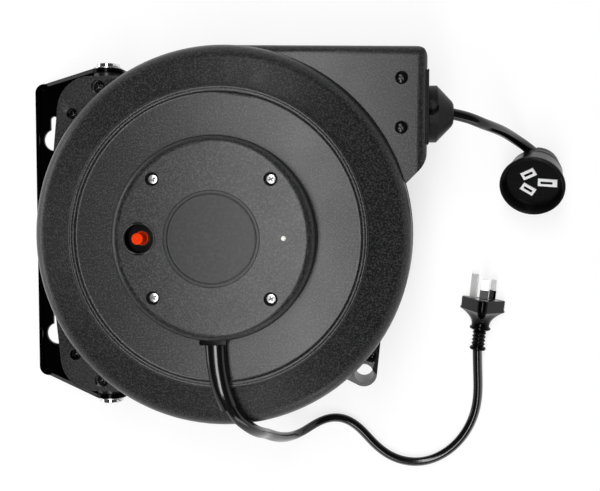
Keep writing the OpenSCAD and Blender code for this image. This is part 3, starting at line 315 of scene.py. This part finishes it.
finishes = {
    "bracket_steel": glossFinish("bracketPaint", bracketLook),
    "casing_plastic": plasticFinish("casingGrain", casingLook),
    "inner_plastic": plasticFinish("innerPlastic", innerLook),
    "label_plastic": plasticFinish("discPlastic", labelLook),
    "black_screw": glossFinish("blackScrew", blackScrewLook),
    "zinc_screw": metalFinish("zincScrew", zincLook),
    "chrome_bolt": metalFinish("chromeBolt", chromeLook),
    "steel": metalFinish("plainSteel", steelLook),
    "brass": metalFinish("brassParts", brassLook),
    "cord_pvc": glossFinish("cordJacket", cordLook),
    "plug_pvc": glossFinish("plugMoulding", plugLook),
    "socket_black": plasticFinish("socketShell", socketLook),
    "insulator_white": plasticFinish("whiteBlocks", whiteLook),
    "button_red": plasticFinish("redButton", buttonLook),
    "lens_clear": lensFinish("lampLens", lensLook),
    "pin_metal": metalFinish("flatPins", pinLook),
}
stopFinish = plasticFinish("stopRubber", stopLook)
recessShadeFinish = plasticFinish("recessShade", recessShadeLook)
for node, part in frame["nodes"].items():
    part.data.materials.clear()
    part.data.materials.append(finishes[slotOf[node]])
print("finishes made")

# ---- making pieces ----


def place(at, *turns):
    # from millimetres about a piece's own middle to the row frame
    found = Matrix.Translation(at)
    for axis, angle in turns:
        found = found @ Matrix.Rotation(math.radians(angle), 4, axis)
    return found @ Matrix.Scale(mm, 4)


def makePiece(name, bm, stands, finish=None, sharp=38):
    mesh = bpy.data.meshes.new(name)
    bm.to_mesh(mesh)
    bm.free()
    mesh.shade_smooth()
    mesh.set_sharp_from_angle(angle=math.radians(sharp))
    mesh.materials.append(finish or finishes[slotOf[stands[0]]])
    piece = bpy.data.objects.new(name, mesh)
    scene.collection.objects.link(piece)
    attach(piece, bodyOf[stands[0]])
    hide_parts(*stands)
    return piece


def evenNormals(piece):
    flat = piece.modifiers.new("evenNormals", "WEIGHTED_NORMAL")
    flat.keep_sharp = True


def copyOf(node):
    bm = bmesh.new()
    bm.from_mesh(frame["nodes"][node].data)
    bmesh.ops.remove_doubles(bm, verts=bm.verts, dist=3e-6)
    bmesh.ops.dissolve_limit(bm, angle_limit=math.radians(0.3), verts=bm.verts, edges=bm.edges)
    return bm


def bevelled(bm, width, angle, segments, keep=None):
    # sharp edges rounded, but for those that keep(middle) names
    edges = [edge for edge in bm.edges
             if len(edge.link_faces) == 2 and edge.calc_face_angle(0) > math.radians(angle)
             and not (keep and keep((edge.verts[0].co + edge.verts[1].co) / 2))]
    bmesh.ops.bevel(bm, geom=edges, offset=width * mm, offset_type="OFFSET", segments=segments,
                    profile=0.5, affect="EDGES", clamp_overlap=True, material=-1)


def softened(node, width, angle=32, segments=2, finish=None, keep=None, sharp=38, turn=None):
    # a copy of the CAD node with its sharp edges rounded
    bm = copyOf(node)
    if turn:
        bm.transform(turn)
    bevelled(bm, width, angle, segments, keep)
    piece = makePiece(node + "_soft", bm, [node], finish, sharp)
    evenNormals(piece)
    return piece


def paintWellShade(piece, spots, reach, top):
    # the walls and floors of round recesses (x, y), below a height, given the near-black finish as painted
    # shade
    piece.data.materials.append(recessShadeFinish)
    slot = len(piece.data.materials) - 1
    for face in piece.data.polygons:
        middle = face.center
        if middle.z < top and any(math.hypot(middle.x - x, middle.y - y) < reach for x, y in spots):
            face.material_index = slot


def bead(name, middle, radius, height, size, stands, finish=None):
    # a thin rounded line moulded on a face round (x, y)
    ring = [(radius + size * math.cos(turn), height + size * math.sin(turn))
            for turn in [i / 12 * math.tau for i in range(13)]]
    bm = spun(ring, 192)
    bm.transform(place((*middle, 0)))
    return makePiece(name, bm, [stands], finish, sharp=80)


def islands(node):
    # lowest and highest corner of each separate solid in a node
    bm = copyOf(node)
    left, found = set(bm.verts), []
    while left:
        group, edge = [left.pop()], 0
        while edge < len(group):
            near = {link.other_vert(group[edge]) for link in group[edge].link_edges} & left
            left -= near
            group += near
            edge += 1
        found.append([Vector(pick(vert.co[i] for vert in group) for i in range(3)) for pick in (min, max)])
    bm.free()
    return sorted(found, key=lambda corners: tuple(corners[0]))


# a screw's shank, and its cross recess: half an arm's width, share of the head, turn in radians
screwSet = {"shank": 1.4, "arm": 0.5, "span": 0.58, "turn": 0.5}


def domedScrews(node, rise, sink=0.0, facing=1, cross=1.1, wide=1.0):
    # screws with a crowned head and a cross recess, standing where the CAD's screws stand
    whole = bmesh.new()
    for low, high in islands(node):
        middle = (low + high) / 2
        top = (high.z if facing > 0 else -low.z) / mm - sink
        foot = (low.z if facing > 0 else -high.z) / mm
        reach = (high.x - low.x) / 2 / mm * wide
        shank, under = screwSet["shank"], top - rise - 1
        outline = [(0, foot), (shank, foot), (shank, under), (reach, under), (reach, top - rise)]
        for share in (0.94, 0.85, 0.74, 0.62, 0.54, 0.46, 0.38, 0.3, 0.22, 0.14, 0.07, 0):
            outline.append((reach * share, top - rise * share ** 2))
        bm = spun(outline, 48)
        for vert in bm.verts:
            off = math.hypot(vert.co.x, vert.co.y)
            narrow = min(abs(vert.co.x), abs(vert.co.y)) < screwSet["arm"]
            if vert.co.z > top - rise and off < reach * screwSet["span"] and narrow:
                vert.co.z -= cross * (1 - off / (reach * 0.7))
        if facing < 0:
            bm.transform(Matrix.Rotation(math.pi, 4, "X"))
        spot = Matrix.Translation((middle.x, middle.y, 0))
        bm.transform(spot @ Matrix.Rotation(screwSet["turn"], 4, "Z") @ Matrix.Scale(mm, 4))
        part = bpy.data.meshes.new("screwPart")
        bm.to_mesh(part)
        bm.free()
        whole.from_mesh(part)
        bpy.data.meshes.remove(part)
    return makePiece(node + "_domed", whole, [node])


def filleted(corners, steps=4):
    # an outline whose corners (across, along, rounding) are rounded off
    points = []
    for i, (x, y, rounding) in enumerate(corners):
        at = Vector((x, y))
        if rounding == 0 or i in (0, len(corners) - 1):
            points.append(at)
            continue
        back = (Vector(corners[i - 1][:2]) - at).normalized() * rounding
        ahead = (Vector(corners[i + 1][:2]) - at).normalized() * rounding
        for k in range(steps + 1):
            t = k / steps
            points.append(at + back * (1 - t) ** 2 + ahead * t ** 2)
    return points


def spun(outline, steps=96):
    bm = bmesh.new()
    line = [bm.verts.new((point[0], 0, point[1])) for point in outline]
    edges = [bm.edges.new(ends) for ends in zip(line, line[1:])]
    bmesh.ops.spin(bm, geom=line + edges, cent=(0, 0, 0), axis=(0, 0, 1), angle=math.tau, steps=steps,
                   use_merge=True)
    bmesh.ops.remove_doubles(bm, verts=bm.verts, dist=1e-4)
    bmesh.ops.recalc_face_normals(bm, faces=bm.faces)
    return bm


def wrapped(stations, sides, where):
    # a closed tube bent out of a grid: where(station, share of the way round) gives each point
    bm = bmesh.new()
    bm.loops.layers.uv.new("along")
    bmesh.ops.create_grid(bm, x_segments=stations, y_segments=sides, size=0.5, calc_uvs=True)
    for vert in bm.verts:
        vert.co = where(round((vert.co.x + 0.5) * stations), vert.co.y + 0.5)
    bmesh.ops.remove_doubles(bm, verts=bm.verts, dist=1e-7)
    bmesh.ops.holes_fill(bm, edges=[edge for edge in bm.edges if edge.is_boundary], sides=0)
    bmesh.ops.recalc_face_normals(bm, faces=bm.faces)
    return bm


# ---- cords ----

sleeveSet = {
    "start": (0.0144, 0.0112), "end": (0.0126, 0.0098), "square": 2.25, "sides": 40, "perSpan": 8,
    "points": [
        (0.1295, -0.0754, 0.1435), (0.13, -0.088, 0.1435), (0.1318, -0.1, 0.1432), (0.1343, -0.111, 0.1415),
        (0.1379, -0.1212, 0.138)],
}
leadSet = {
    "start": (0.0084, 0.007), "end": (0.0084, 0.007), "square": 2.9, "sides": 32, "perSpan": 8,
    "points": [
        (0.1394, -0.1216, 0.138), (0.1435, -0.1305, 0.135), (0.153, -0.1412, 0.1245),
        (0.1575, -0.1483, 0.108),
        (0.1585, -0.153, 0.091), (0.1625, -0.159, 0.077), (0.166, -0.164, 0.063), (0.1705, -0.168, 0.0485),
        (0.174, -0.171, 0.0345), (0.182, -0.1705, 0.023), (0.1925, -0.165, 0.0125), (0.205, -0.161, 0.0065),
        (0.2185, -0.1625, 0.004), (0.231, -0.171, 0.004), (0.2415, -0.1835, 0.004), (0.254, -0.194, 0.004),
        (0.2685, -0.1995, 0.004), (0.284, -0.2, 0.004), (0.2985, -0.195, 0.004), (0.311, -0.186, 0.004),
        (0.321, -0.174, 0.004), (0.328, -0.1595, 0.004), (0.331, -0.1445, 0.005), (0.331, -0.1295, 0.0075),
        (0.33, -0.1145, 0.01), (0.3294, -0.0993, 0.0125)],
}
outletSet = {
    "start": (0.0086, 0.0086), "end": (0.0086, 0.0086), "square": 2.0, "sides": 32, "perSpan": 10,
    "points": [
        (0.3008, 0.0921, 0.08), (0.313, 0.0895, 0.0785), (0.3235, 0.0855, 0.073), (0.333, 0.0835, 0.0625),
        (0.342, 0.0815, 0.0505), (0.3505, 0.0785, 0.038), (0.359, 0.0745, 0.0285), (0.366, 0.0705, 0.024),
        (0.3725, 0.066, 0.0199)],
}
innerSet = {
    "start": (0.0086, 0.0086), "end": (0.0086, 0.0086), "square": 2.0, "sides": 32, "perSpan": 6,
    "points": [(x, 0.0921, 0.08) for x in (0.1708, 0.2, 0.23, 0.26, 0.285, 0.3008)],
}


def smoothRoute(points, perSpan):
    # the cubic curve that the control points steer, through both ends
    points = [Vector(point) for point in points]
    points = [2 * points[0] - points[1]] + points + [2 * points[-1] - points[-2]]
    route = []
    for i in range(1, len(points) - 2):
        a, b, c, d = points[i - 1:i + 3]
        for k in range(perSpan + (i == len(points) - 3)):
            t = k / perSpan
            route.append((a * (1 - t) ** 3 + b * (3 * t ** 3 - 6 * t * t + 4)
                          + c * (-3 * t ** 3 + 3 * t * t + 3 * t + 1) + d * t ** 3) / 6)
    return route


def rounded(angle, width, thick, square):
    # point on a flat section; square 2 is an ellipse and more is boxier
    c, s = math.cos(angle), math.sin(angle)
    across = math.copysign(abs(c) ** (2 / square), c) * width / 2
    return across, math.copysign(abs(s) ** (2 / square), s) * thick / 2


def headingAt(route, i):
    return (route[min(i + 1, len(route) - 1)] - route[max(i - 1, 0)]).normalized()


def carriedFrames(route, side=None):
    # heading, side and up at each point, carried along without a twist
    frames = []
    for i in range(len(route)):
        go = headingAt(route, i)
        side = side or go.cross(Vector((0, 0, 1)))
        side = (side - go * side.dot(go)).normalized()
        frames.append((go, side, side.cross(go)))
    return frames


def cordTube(name, given, stands, side=None):
    # a flat or round tube along a route, from the size at its start to the size at its end
    route = smoothRoute(given["points"], given["perSpan"])
    frames = carriedFrames(route, side)
    last = len(route) - 1

    def where(i, share):
        along = i / last
        wide, thick = ((1 - along) * a + along * b for a, b in zip(given["start"], given["end"]))
        across, rise = rounded(share * math.tau, wide, thick, given["square"])
        side, up = frames[i][1:]
        return route[i] + side * across + up * rise

    piece = makePiece(name, wrapped(last, given["sides"], where), stands)
    length = sum((b - a).length for a, b in zip(route, route[1:]))
    return piece, route, length, frames[-1][1]


leadSleeve, *_, sleeveSide = cordTube("lead_sleeve_soft", sleeveSet, ["lead_sleeve"])
supplyLead, leadRoute, leadLength, _ = cordTube("supply_lead_soft", leadSet, ["supply_lead"], sleeveSide)
outletCord, outletRoute, outletLength, _ = cordTube("outlet_cord_soft", outletSet, ["outlet_cord"])
cordTube("inner_cord_soft", innerSet, ["inner_cord"])
print("cords made", round(leadLength, 4), round(outletLength, 4))

# ---- winding on the drum ----

windingSet = {"inner": 52, "outer": 96.4, "half": 26, "cord": 8.5, "turns": 6, "steps": 44, "sides": 12}


def makeWinding():
    # the outer layer of turns as one helix over a plain core
    given = windingSet
    at = place(reelAxis)
    radius = given["cord"] / 2
    middle = given["outer"] - radius
    stations = given["turns"] * given["steps"]
    low = -given["half"] + radius
    climb = 2 * (given["half"] - radius) / stations

    def where(i, share):
        turn = i / given["steps"] * math.tau
        angle = share * math.tau
        reach = middle + radius * math.cos(angle)
        rise = low + climb * i + radius * math.sin(angle)
        return at @ Vector((reach * math.cos(turn), reach * math.sin(turn), rise))

    core = spun([(given["inner"], -given["half"]), (middle, -given["half"]), (middle, given["half"]),
                 (given["inner"], given["half"]), (given["inner"], -given["half"])])
    core.transform(at)
    makePiece("wound_cord_turns", wrapped(stations, given["sides"], where), ["wound_cord"])
    makePiece("wound_cord_core", core, ["wound_cord"])


makeWinding()
print("winding made")

# ---- plug ----

plugSet = {
    "place": place((0.3294, -0.0993, 0.0125), ("Z", -6.1), ("X", -90), ("Z", 180)),
    "roll": -8,          # degrees about its own axis
    "faceRadius": 20.4, "corner": 4.6, "sides": 120,
    "ribs": 4, "ribStep": 3.1, "core": 4.75,
}


def cornered(angle, radius, corner):
    # distance to the edge of a triangle with rounded corners, one of them at 90 degrees
    turn = (angle - math.pi / 2 + math.pi / 3) % (math.tau / 3) - math.pi / 3
    out = radius - corner
    joint = math.atan2(corner * math.sin(math.pi / 3), out + corner / 2)
    if abs(turn) <= joint:
        return out * math.cos(turn) + math.sqrt(corner ** 2 - (out * math.sin(turn)) ** 2)
    return (out / 2 + corner) / math.cos(math.pi / 3 - abs(turn))


def makePlug():
    # stations along the plug: height, radius and how far from round (0) to three-cornered (1)
    core = plugSet["core"]
    stations = [(0, 4.4, 0), (0, 5.7, 0), (0.5, 6.4, 0), (1.3, 6.75, 0), (2.2, 6.6, 0), (2.9, 6.1, 0),
                (3.3, 5.0, 0)]
    for i in range(plugSet["ribs"]):
        base = 3.9 + i * plugSet["ribStep"]
        stations += [(base, core, 0), (base + 0.7, core + 0.3, 0), (base + 1.1, core + 0.85, 0),
                     (base + 1.5, core + 1.0, 0), (base + 1.9, core + 0.75, 0), (base + 2.3, core + 0.2, 0)]
    stations += [(16.3, 5.4, 0), (16.8, 6.4, 0), (17.2, 7.1, 0), (17.6, 8.0, 0), (18.1, 8.6, 0),
                 (18.9, 8.75, 0), (19.6, 8.5, 0), (20.1, 7.9, 0), (20.5, 7.4, 0)]
    for i in range(1, 11):
        k = i / 10
        stations.append((20.5 + 12.2 * k, 7.4 + 12.1 * k ** 2.3, min(1, 1.2 * k)))
    slab = plugSet["faceRadius"]
    stations += [(33.2, slab + 0.3, 1), (33.8, slab + 0.55, 1), (34.3, slab + 0.4, 1), (34.7, slab - 0.1, 1),
                 (35.3, slab - 0.35, 1), (37, slab - 0.4, 1), (41.8, slab - 0.2, 1), (42.6, slab - 0.35, 1),
                 (43.1, slab - 0.8, 1), (43.3, slab - 1.5, 1), (43.3, slab - 3.4, 1), (43.1, slab - 3.8, 1)]

    def where(i, share):
        height, radius, square = stations[i]
        angle = share * math.tau
        reach = radius * (1 - square) + cornered(angle, radius, min(plugSet["corner"], radius * 0.9)) * square
        angle += math.radians(plugSet["roll"])
        return plugSet["place"] @ Vector((reach * math.cos(angle), reach * math.sin(angle), height))

    return makePiece("plug_body_soft", wrapped(len(stations) - 1, plugSet["sides"], where), ["plug_body"])


plugBody = makePlug()
plugRoll = Matrix.Rotation(math.radians(plugSet["roll"]), 4, "Z")
plugTurn = plugSet["place"] @ plugRoll @ plugSet["place"].inverted()
plugPins = softened("plug_pins", 0.3, turn=plugTurn)
pinSleeves = softened("pin_sleeves", 0.12, turn=plugTurn)
print("plug made")

# ---- socket ----

socketSet = {
    "place": place((0.367, 0.0374, 0.0431), ("Z", -120), ("Y", 34), ("Z", 120)),
    "mouth": 25.7, "back": 19.5, "long": 28.0, "wall": 2.0, "band": 3.0, "deep": 9.0, "floor": 21.4,
}


def makeSocket():
    given = socketSet
    mouth, inner, back = given["mouth"], given["mouth"] - given["wall"], given["back"]
    base = -given["deep"] - 14
    body = spun(filleted([
        (0, -given["long"], 0), (back - 0.2, -given["long"], 0.6), (back + 0.6, -given["long"] + 2, 0.6),
        (mouth - 0.6, -given["band"] - 1, 0.4), (mouth, -given["band"], 0.4), (mouth, 0, 1.1),
        (inner, 0, 0.6), (given["floor"], -given["deep"], 0), (given["floor"], base, 0), (0, base, 0)]))
    body.transform(given["place"])
    return makePiece("socket_body_soft", body, ["socket_body"])


socketBody = makeSocket()
socketCap = softened("socket_cap", 0.7)
socketFace = softened("socket_face", 0.2)
socketBlocks = softened("socket_blocks", 0.2)


def paintSlotShade():
    # the inside of each white block's slot, given the dark inner plastic as painted shade
    socketBlocks.data.materials.append(finishes["inner_plastic"])
    middles = [(low + high) / 2 for low, high in islands("socket_blocks")]
    for face in socketBlocks.data.polygons:
        middle = min(middles, key=lambda point: (point - face.center).length)
        if (face.center - middle).dot(face.normal) < 0 and (face.center - middle).length < 0.0056:
            face.material_index = 1


paintSlotShade()
print("socket made")

# ---- cord stop and outlet ----

softened("stop_front_half", 0.8, angle=24, segments=3, finish=stopFinish)
softened("stop_rear_half", 0.8, angle=24, segments=3, finish=stopFinish)
softened("stop_screws", 0.3)


lipShare = 0.45
pawlSet = {"face": 0.2, "less": 0.5}        # depth of the face that moves, and by how much


def thinFrame():
    # the outlet's liner with under half of its lip standing out of the mouth
    bm = copyOf("outlet_frame")
    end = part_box("front_shell")[1][0]
    for vert in bm.verts:
        if vert.co.x > end:
            vert.co.x = end + (vert.co.x - end) * lipShare
    bevelled(bm, 0.5, 32, 3)
    evenNormals(makePiece("outlet_frame_thin", bm, ["outlet_frame"], stopFinish))


def clearPawl():
    # the pawl a little thinner on the side of the flange's screws
    bm = copyOf("pawl")
    near = max(vert.co.z for vert in bm.verts)
    for vert in bm.verts:
        if vert.co.z > near - pawlSet["face"] * mm:
            vert.co.z -= pawlSet["less"] * mm
    bevelled(bm, 0.25, 32, 1)
    evenNormals(makePiece("pawl_clear", bm, ["pawl"]))


thinFrame()
clearPawl()
domedScrews("roller_axles", 1.3, 0.7, cross=0.25, wide=1.12)
print("stop made")

# ---- casing ----

def inRidge(point):
    # the low ridge and groove round the front panel, and all that lies back towards the joint
    off = point - reelAxis
    return off.z < 0.026 or 0.098 < math.hypot(off.x, off.y) < 0.112 and off.z > 0.05


frontShell = softened("front_shell", 0.6, keep=inRidge, sharp=50)
sunk = [((low + high) / 2).to_2d() for node in ("shell_screws", "pivot_lock_screws", "roller_axles")
        for low, high in islands(node)]
# painted shade in the front shell's screw recesses
paintWellShade(frontShell, sunk, 0.0047, 0.111)
bead("front_ridge_bead", reelAxis.to_2d(), 107.4, 134.1, 1.7, "front_shell")
softened("rear_shell", 0.6, keep=lambda point: point.z > 0.04, sharp=50)
softened("rear_hub", 0.7)
softened("lead_gland", 1.0, segments=3, finish=finishes["plug_pvc"])
softened("breaker_collar", 0.3)
softened("power_indicator", 0.6, segments=3)
for screws in ("shell_screws", "pivot_lock_screws"):
    domedScrews(screws, 1.5, 0.3)
domedScrews("hub_screws", 0.35, 1.2, wide=0.93)
domedScrews("rear_hub_screws", 0.9, 0.2, facing=-1)

hubSet = {
    "top": 154.5, "screwAt": 41.5, "recess": 4.9, "recessWas": (4.2, 4.6), "recessFrom": 140,
    "wellAt": -51.4, "well": 10.2, "label": 33.8, "flat": 30.7, "labelThick": 0.8,
}


def makeHub():
    # the cover with wider screw recesses and a rolled rim round the button's well
    given = hubSet
    bm = copyOf("hub_cover")
    spots = [reelAxis + Vector((x, y, 0)) * given["screwAt"] * mm for x in (-1, 1) for y in (-1, 1)]
    for vert in bm.verts:
        for spot in spots:
            off = (vert.co - spot).to_2d()
            least, most = given["recessWas"]
            if least < off.length / mm < most and vert.co.z > given["recessFrom"] * mm:
                off = off.normalized() * given["recess"] * mm
                vert.co.x, vert.co.y = spot.x + off.x, spot.y + off.y
    well = reelAxis + Vector((given["wellAt"] * mm, 0, 0))
    bevelled(bm, 0.4, 32, 2)
    cover = makePiece("hub_cover_soft", bm, ["hub_cover"])
    evenNormals(cover)
    # painted shade in the hub's screw recesses and the button's well
    paintWellShade(cover, [spot.to_2d() for spot in spots], 0.0047, 0.1541)
    paintWellShade(cover, [well.to_2d()], 0.0104, 0.1541)
    bead("well_rim_bead", well.to_2d(), given["well"] + 0.9, given["top"] - 0.25, 0.75, "hub_cover",
         finishes["cord_pvc"])


def makeLabel():
    # a blank disc with a fine bead near its edge
    top, flat, edge = hubSet["top"], hubSet["flat"], hubSet["label"]
    foot = top - hubSet["labelThick"]
    disc = spun([(0, foot), (edge, foot), (edge, top - 0.5), (edge - 0.3, top - 0.25),
                 (flat + 1.1, top - 0.25), (flat + 0.75, top + 0.1), (flat + 0.4, top + 0.15),
                 (flat, top - 0.15), (flat - 0.6, top - 0.2), (0, top - 0.2)], 160)
    disc.transform(place((*reelAxis.to_2d(), 0)))
    evenNormals(makePiece("label_disc_beaded", disc, ["label_disc"], sharp=15))


def makeButton():
    # a round button with a ring engraved in its top
    low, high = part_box("reset_button")
    foot, top, reach = low[2] / mm, high[2] / mm, (high[0] - low[0]) / 2 / mm
    button = spun([(0, foot), (reach, foot), (reach, top - 0.7), (reach - 0.2, top - 0.2), (reach - 0.7, top),
                   (2.9, top), (2.7, top - 0.3), (2.3, top - 0.3), (2.1, top), (1.1, top), (0.9, top - 0.25),
                   (0, top - 0.25)], 64)
    button.transform(place(((low[0] + high[0]) / 2, (low[1] + high[1]) / 2, 0)))
    makePiece("reset_button_ringed", button, ["reset_button"])


makeHub()
makeLabel()
makeButton()
print("casing made")

# ---- bracket ----

softened("wall_bracket", 0.6)
softened("pivot_bolts", 0.7, segments=3)
softened("pivot_washers", 0.2)
softened("arm_bushes", 0.3)
print("bracket made")

# ---- light and floor ----

lightSet = {
    "key": {"place": (0.09, 0.0, 1.3), "size": (0.28, 2.1), "power": 19.0},
    "left": {"place": (-1.1, 0.1, 0.3), "size": (0.3, 1.2), "power": 3.5},
    "foot": {"place": (0.6, -1.5, 0.65), "size": (1.0, 0.3), "power": 2.5},
}
floorSet = {"reach": 5.0, "curve": 1.5, "wall": 3.2, "paint": (0.3, 0.3, 0.3), "lift": 0.75}
worldSet = {"top": 0.05, "rim": 0.08}


def makeLights():
    for name, given in lightSet.items():
        data = bpy.data.lights.new(name + "Light", "AREA")
        data.shape = "RECTANGLE"
        data.size, data.size_y = given["size"]
        data.energy = given["power"]
        lamp = bpy.data.objects.new(name + "Light", data)
        scene.collection.objects.link(lamp)
        back = (Vector(given["place"]) - Vector((0.22, 0, 0.05))).normalized()
        across = Vector((0, 1, 0)).cross(back).normalized()
        turn = Matrix((across, back.cross(across), back)).transposed().to_4x4()     # long side along Y
        lamp.matrix_world = Matrix.Translation(given["place"]) @ turn


def makeFloor():
    # a round paper floor that curves up into a low wall
    reach, curve, wall = floorSet["reach"], floorSet["curve"], floorSet["wall"]
    bend = [(reach + curve * math.sin(turn), curve * (1 - math.cos(turn)))
            for turn in [i / 12 * math.pi / 2 for i in range(13)]]
    bm = spun([(0, 0), *bend, (reach + curve, wall)])
    bmesh.ops.reverse_faces(bm, faces=bm.faces)
    mesh = bpy.data.meshes.new("studioFloor")
    bm.to_mesh(mesh)
    bm.free()
    mesh.shade_smooth()
    floor = bpy.data.objects.new("studioFloor", mesh)
    scene.collection.objects.link(floor)
    material, tree, shader = newFinish("floorPaper")
    shader.inputs["Base Color"].default_value = (*floorSet["paint"], 1)
    shader.inputs["Roughness"].default_value = 0.9
    shader.inputs["Specular IOR Level"].default_value = 0.0
    path = addNode(tree, "ShaderNodeLightPath")
    seen = addNode(tree, "ShaderNodeMath", operation="MAXIMUM")
    clear = addNode(tree, "ShaderNodeMath", operation="MAXIMUM")
    glow = addNode(tree, "ShaderNodeMath", {1: floorSet["lift"]}, operation="MULTIPLY")
    tree.links.new(path.outputs["Is Camera Ray"], seen.inputs[0])
    tree.links.new(path.outputs["Is Glossy Ray"], seen.inputs[1])
    tree.links.new(seen.outputs[0], clear.inputs[0])
    tree.links.new(path.outputs["Is Transmission Ray"], clear.inputs[1])
    tree.links.new(clear.outputs[0], glow.inputs[0])
    shader.inputs["Emission Color"].default_value = (1, 1, 1, 1)
    tree.links.new(glow.outputs[0], shader.inputs["Emission Strength"])
    # seen through from underneath
    side = addNode(tree, "ShaderNodeNewGeometry")
    through = addNode(tree, "ShaderNodeBsdfTransparent")
    choose = addNode(tree, "ShaderNodeMixShader")
    tree.links.new(side.outputs["Backfacing"], choose.inputs[0])
    tree.links.new(shader.outputs[0], choose.inputs[1])
    tree.links.new(through.outputs[0], choose.inputs[2])
    tree.links.new(choose.outputs[0], tree.get_output_node("ALL").inputs["Surface"])
    mesh.materials.append(material)


def makeWorld():
    world = bpy.data.worlds.new("studioWorld")
    scene.world = world
    world.use_nodes = True
    tree = world.node_tree
    way = addNode(tree, "ShaderNodeTexCoord")
    split = addNode(tree, "ShaderNodeSeparateXYZ")
    fade = addNode(tree, "ShaderNodeMapRange",
                   {"From Min": 0.25, "From Max": 0.9, "To Min": worldSet["rim"], "To Max": worldSet["top"]})
    back = tree.nodes["Background"]
    tree.links.new(way.outputs["Generated"], split.inputs[0])
    tree.links.new(split.outputs["Z"], fade.inputs["Value"])
    tree.links.new(fade.outputs["Result"], back.inputs["Strength"])
    back.inputs["Color"].default_value = (1, 1, 1, 1)


makeLights()
makeFloor()
makeWorld()
print("light and floor made")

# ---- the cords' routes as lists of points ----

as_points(leadRoute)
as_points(outletRoute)
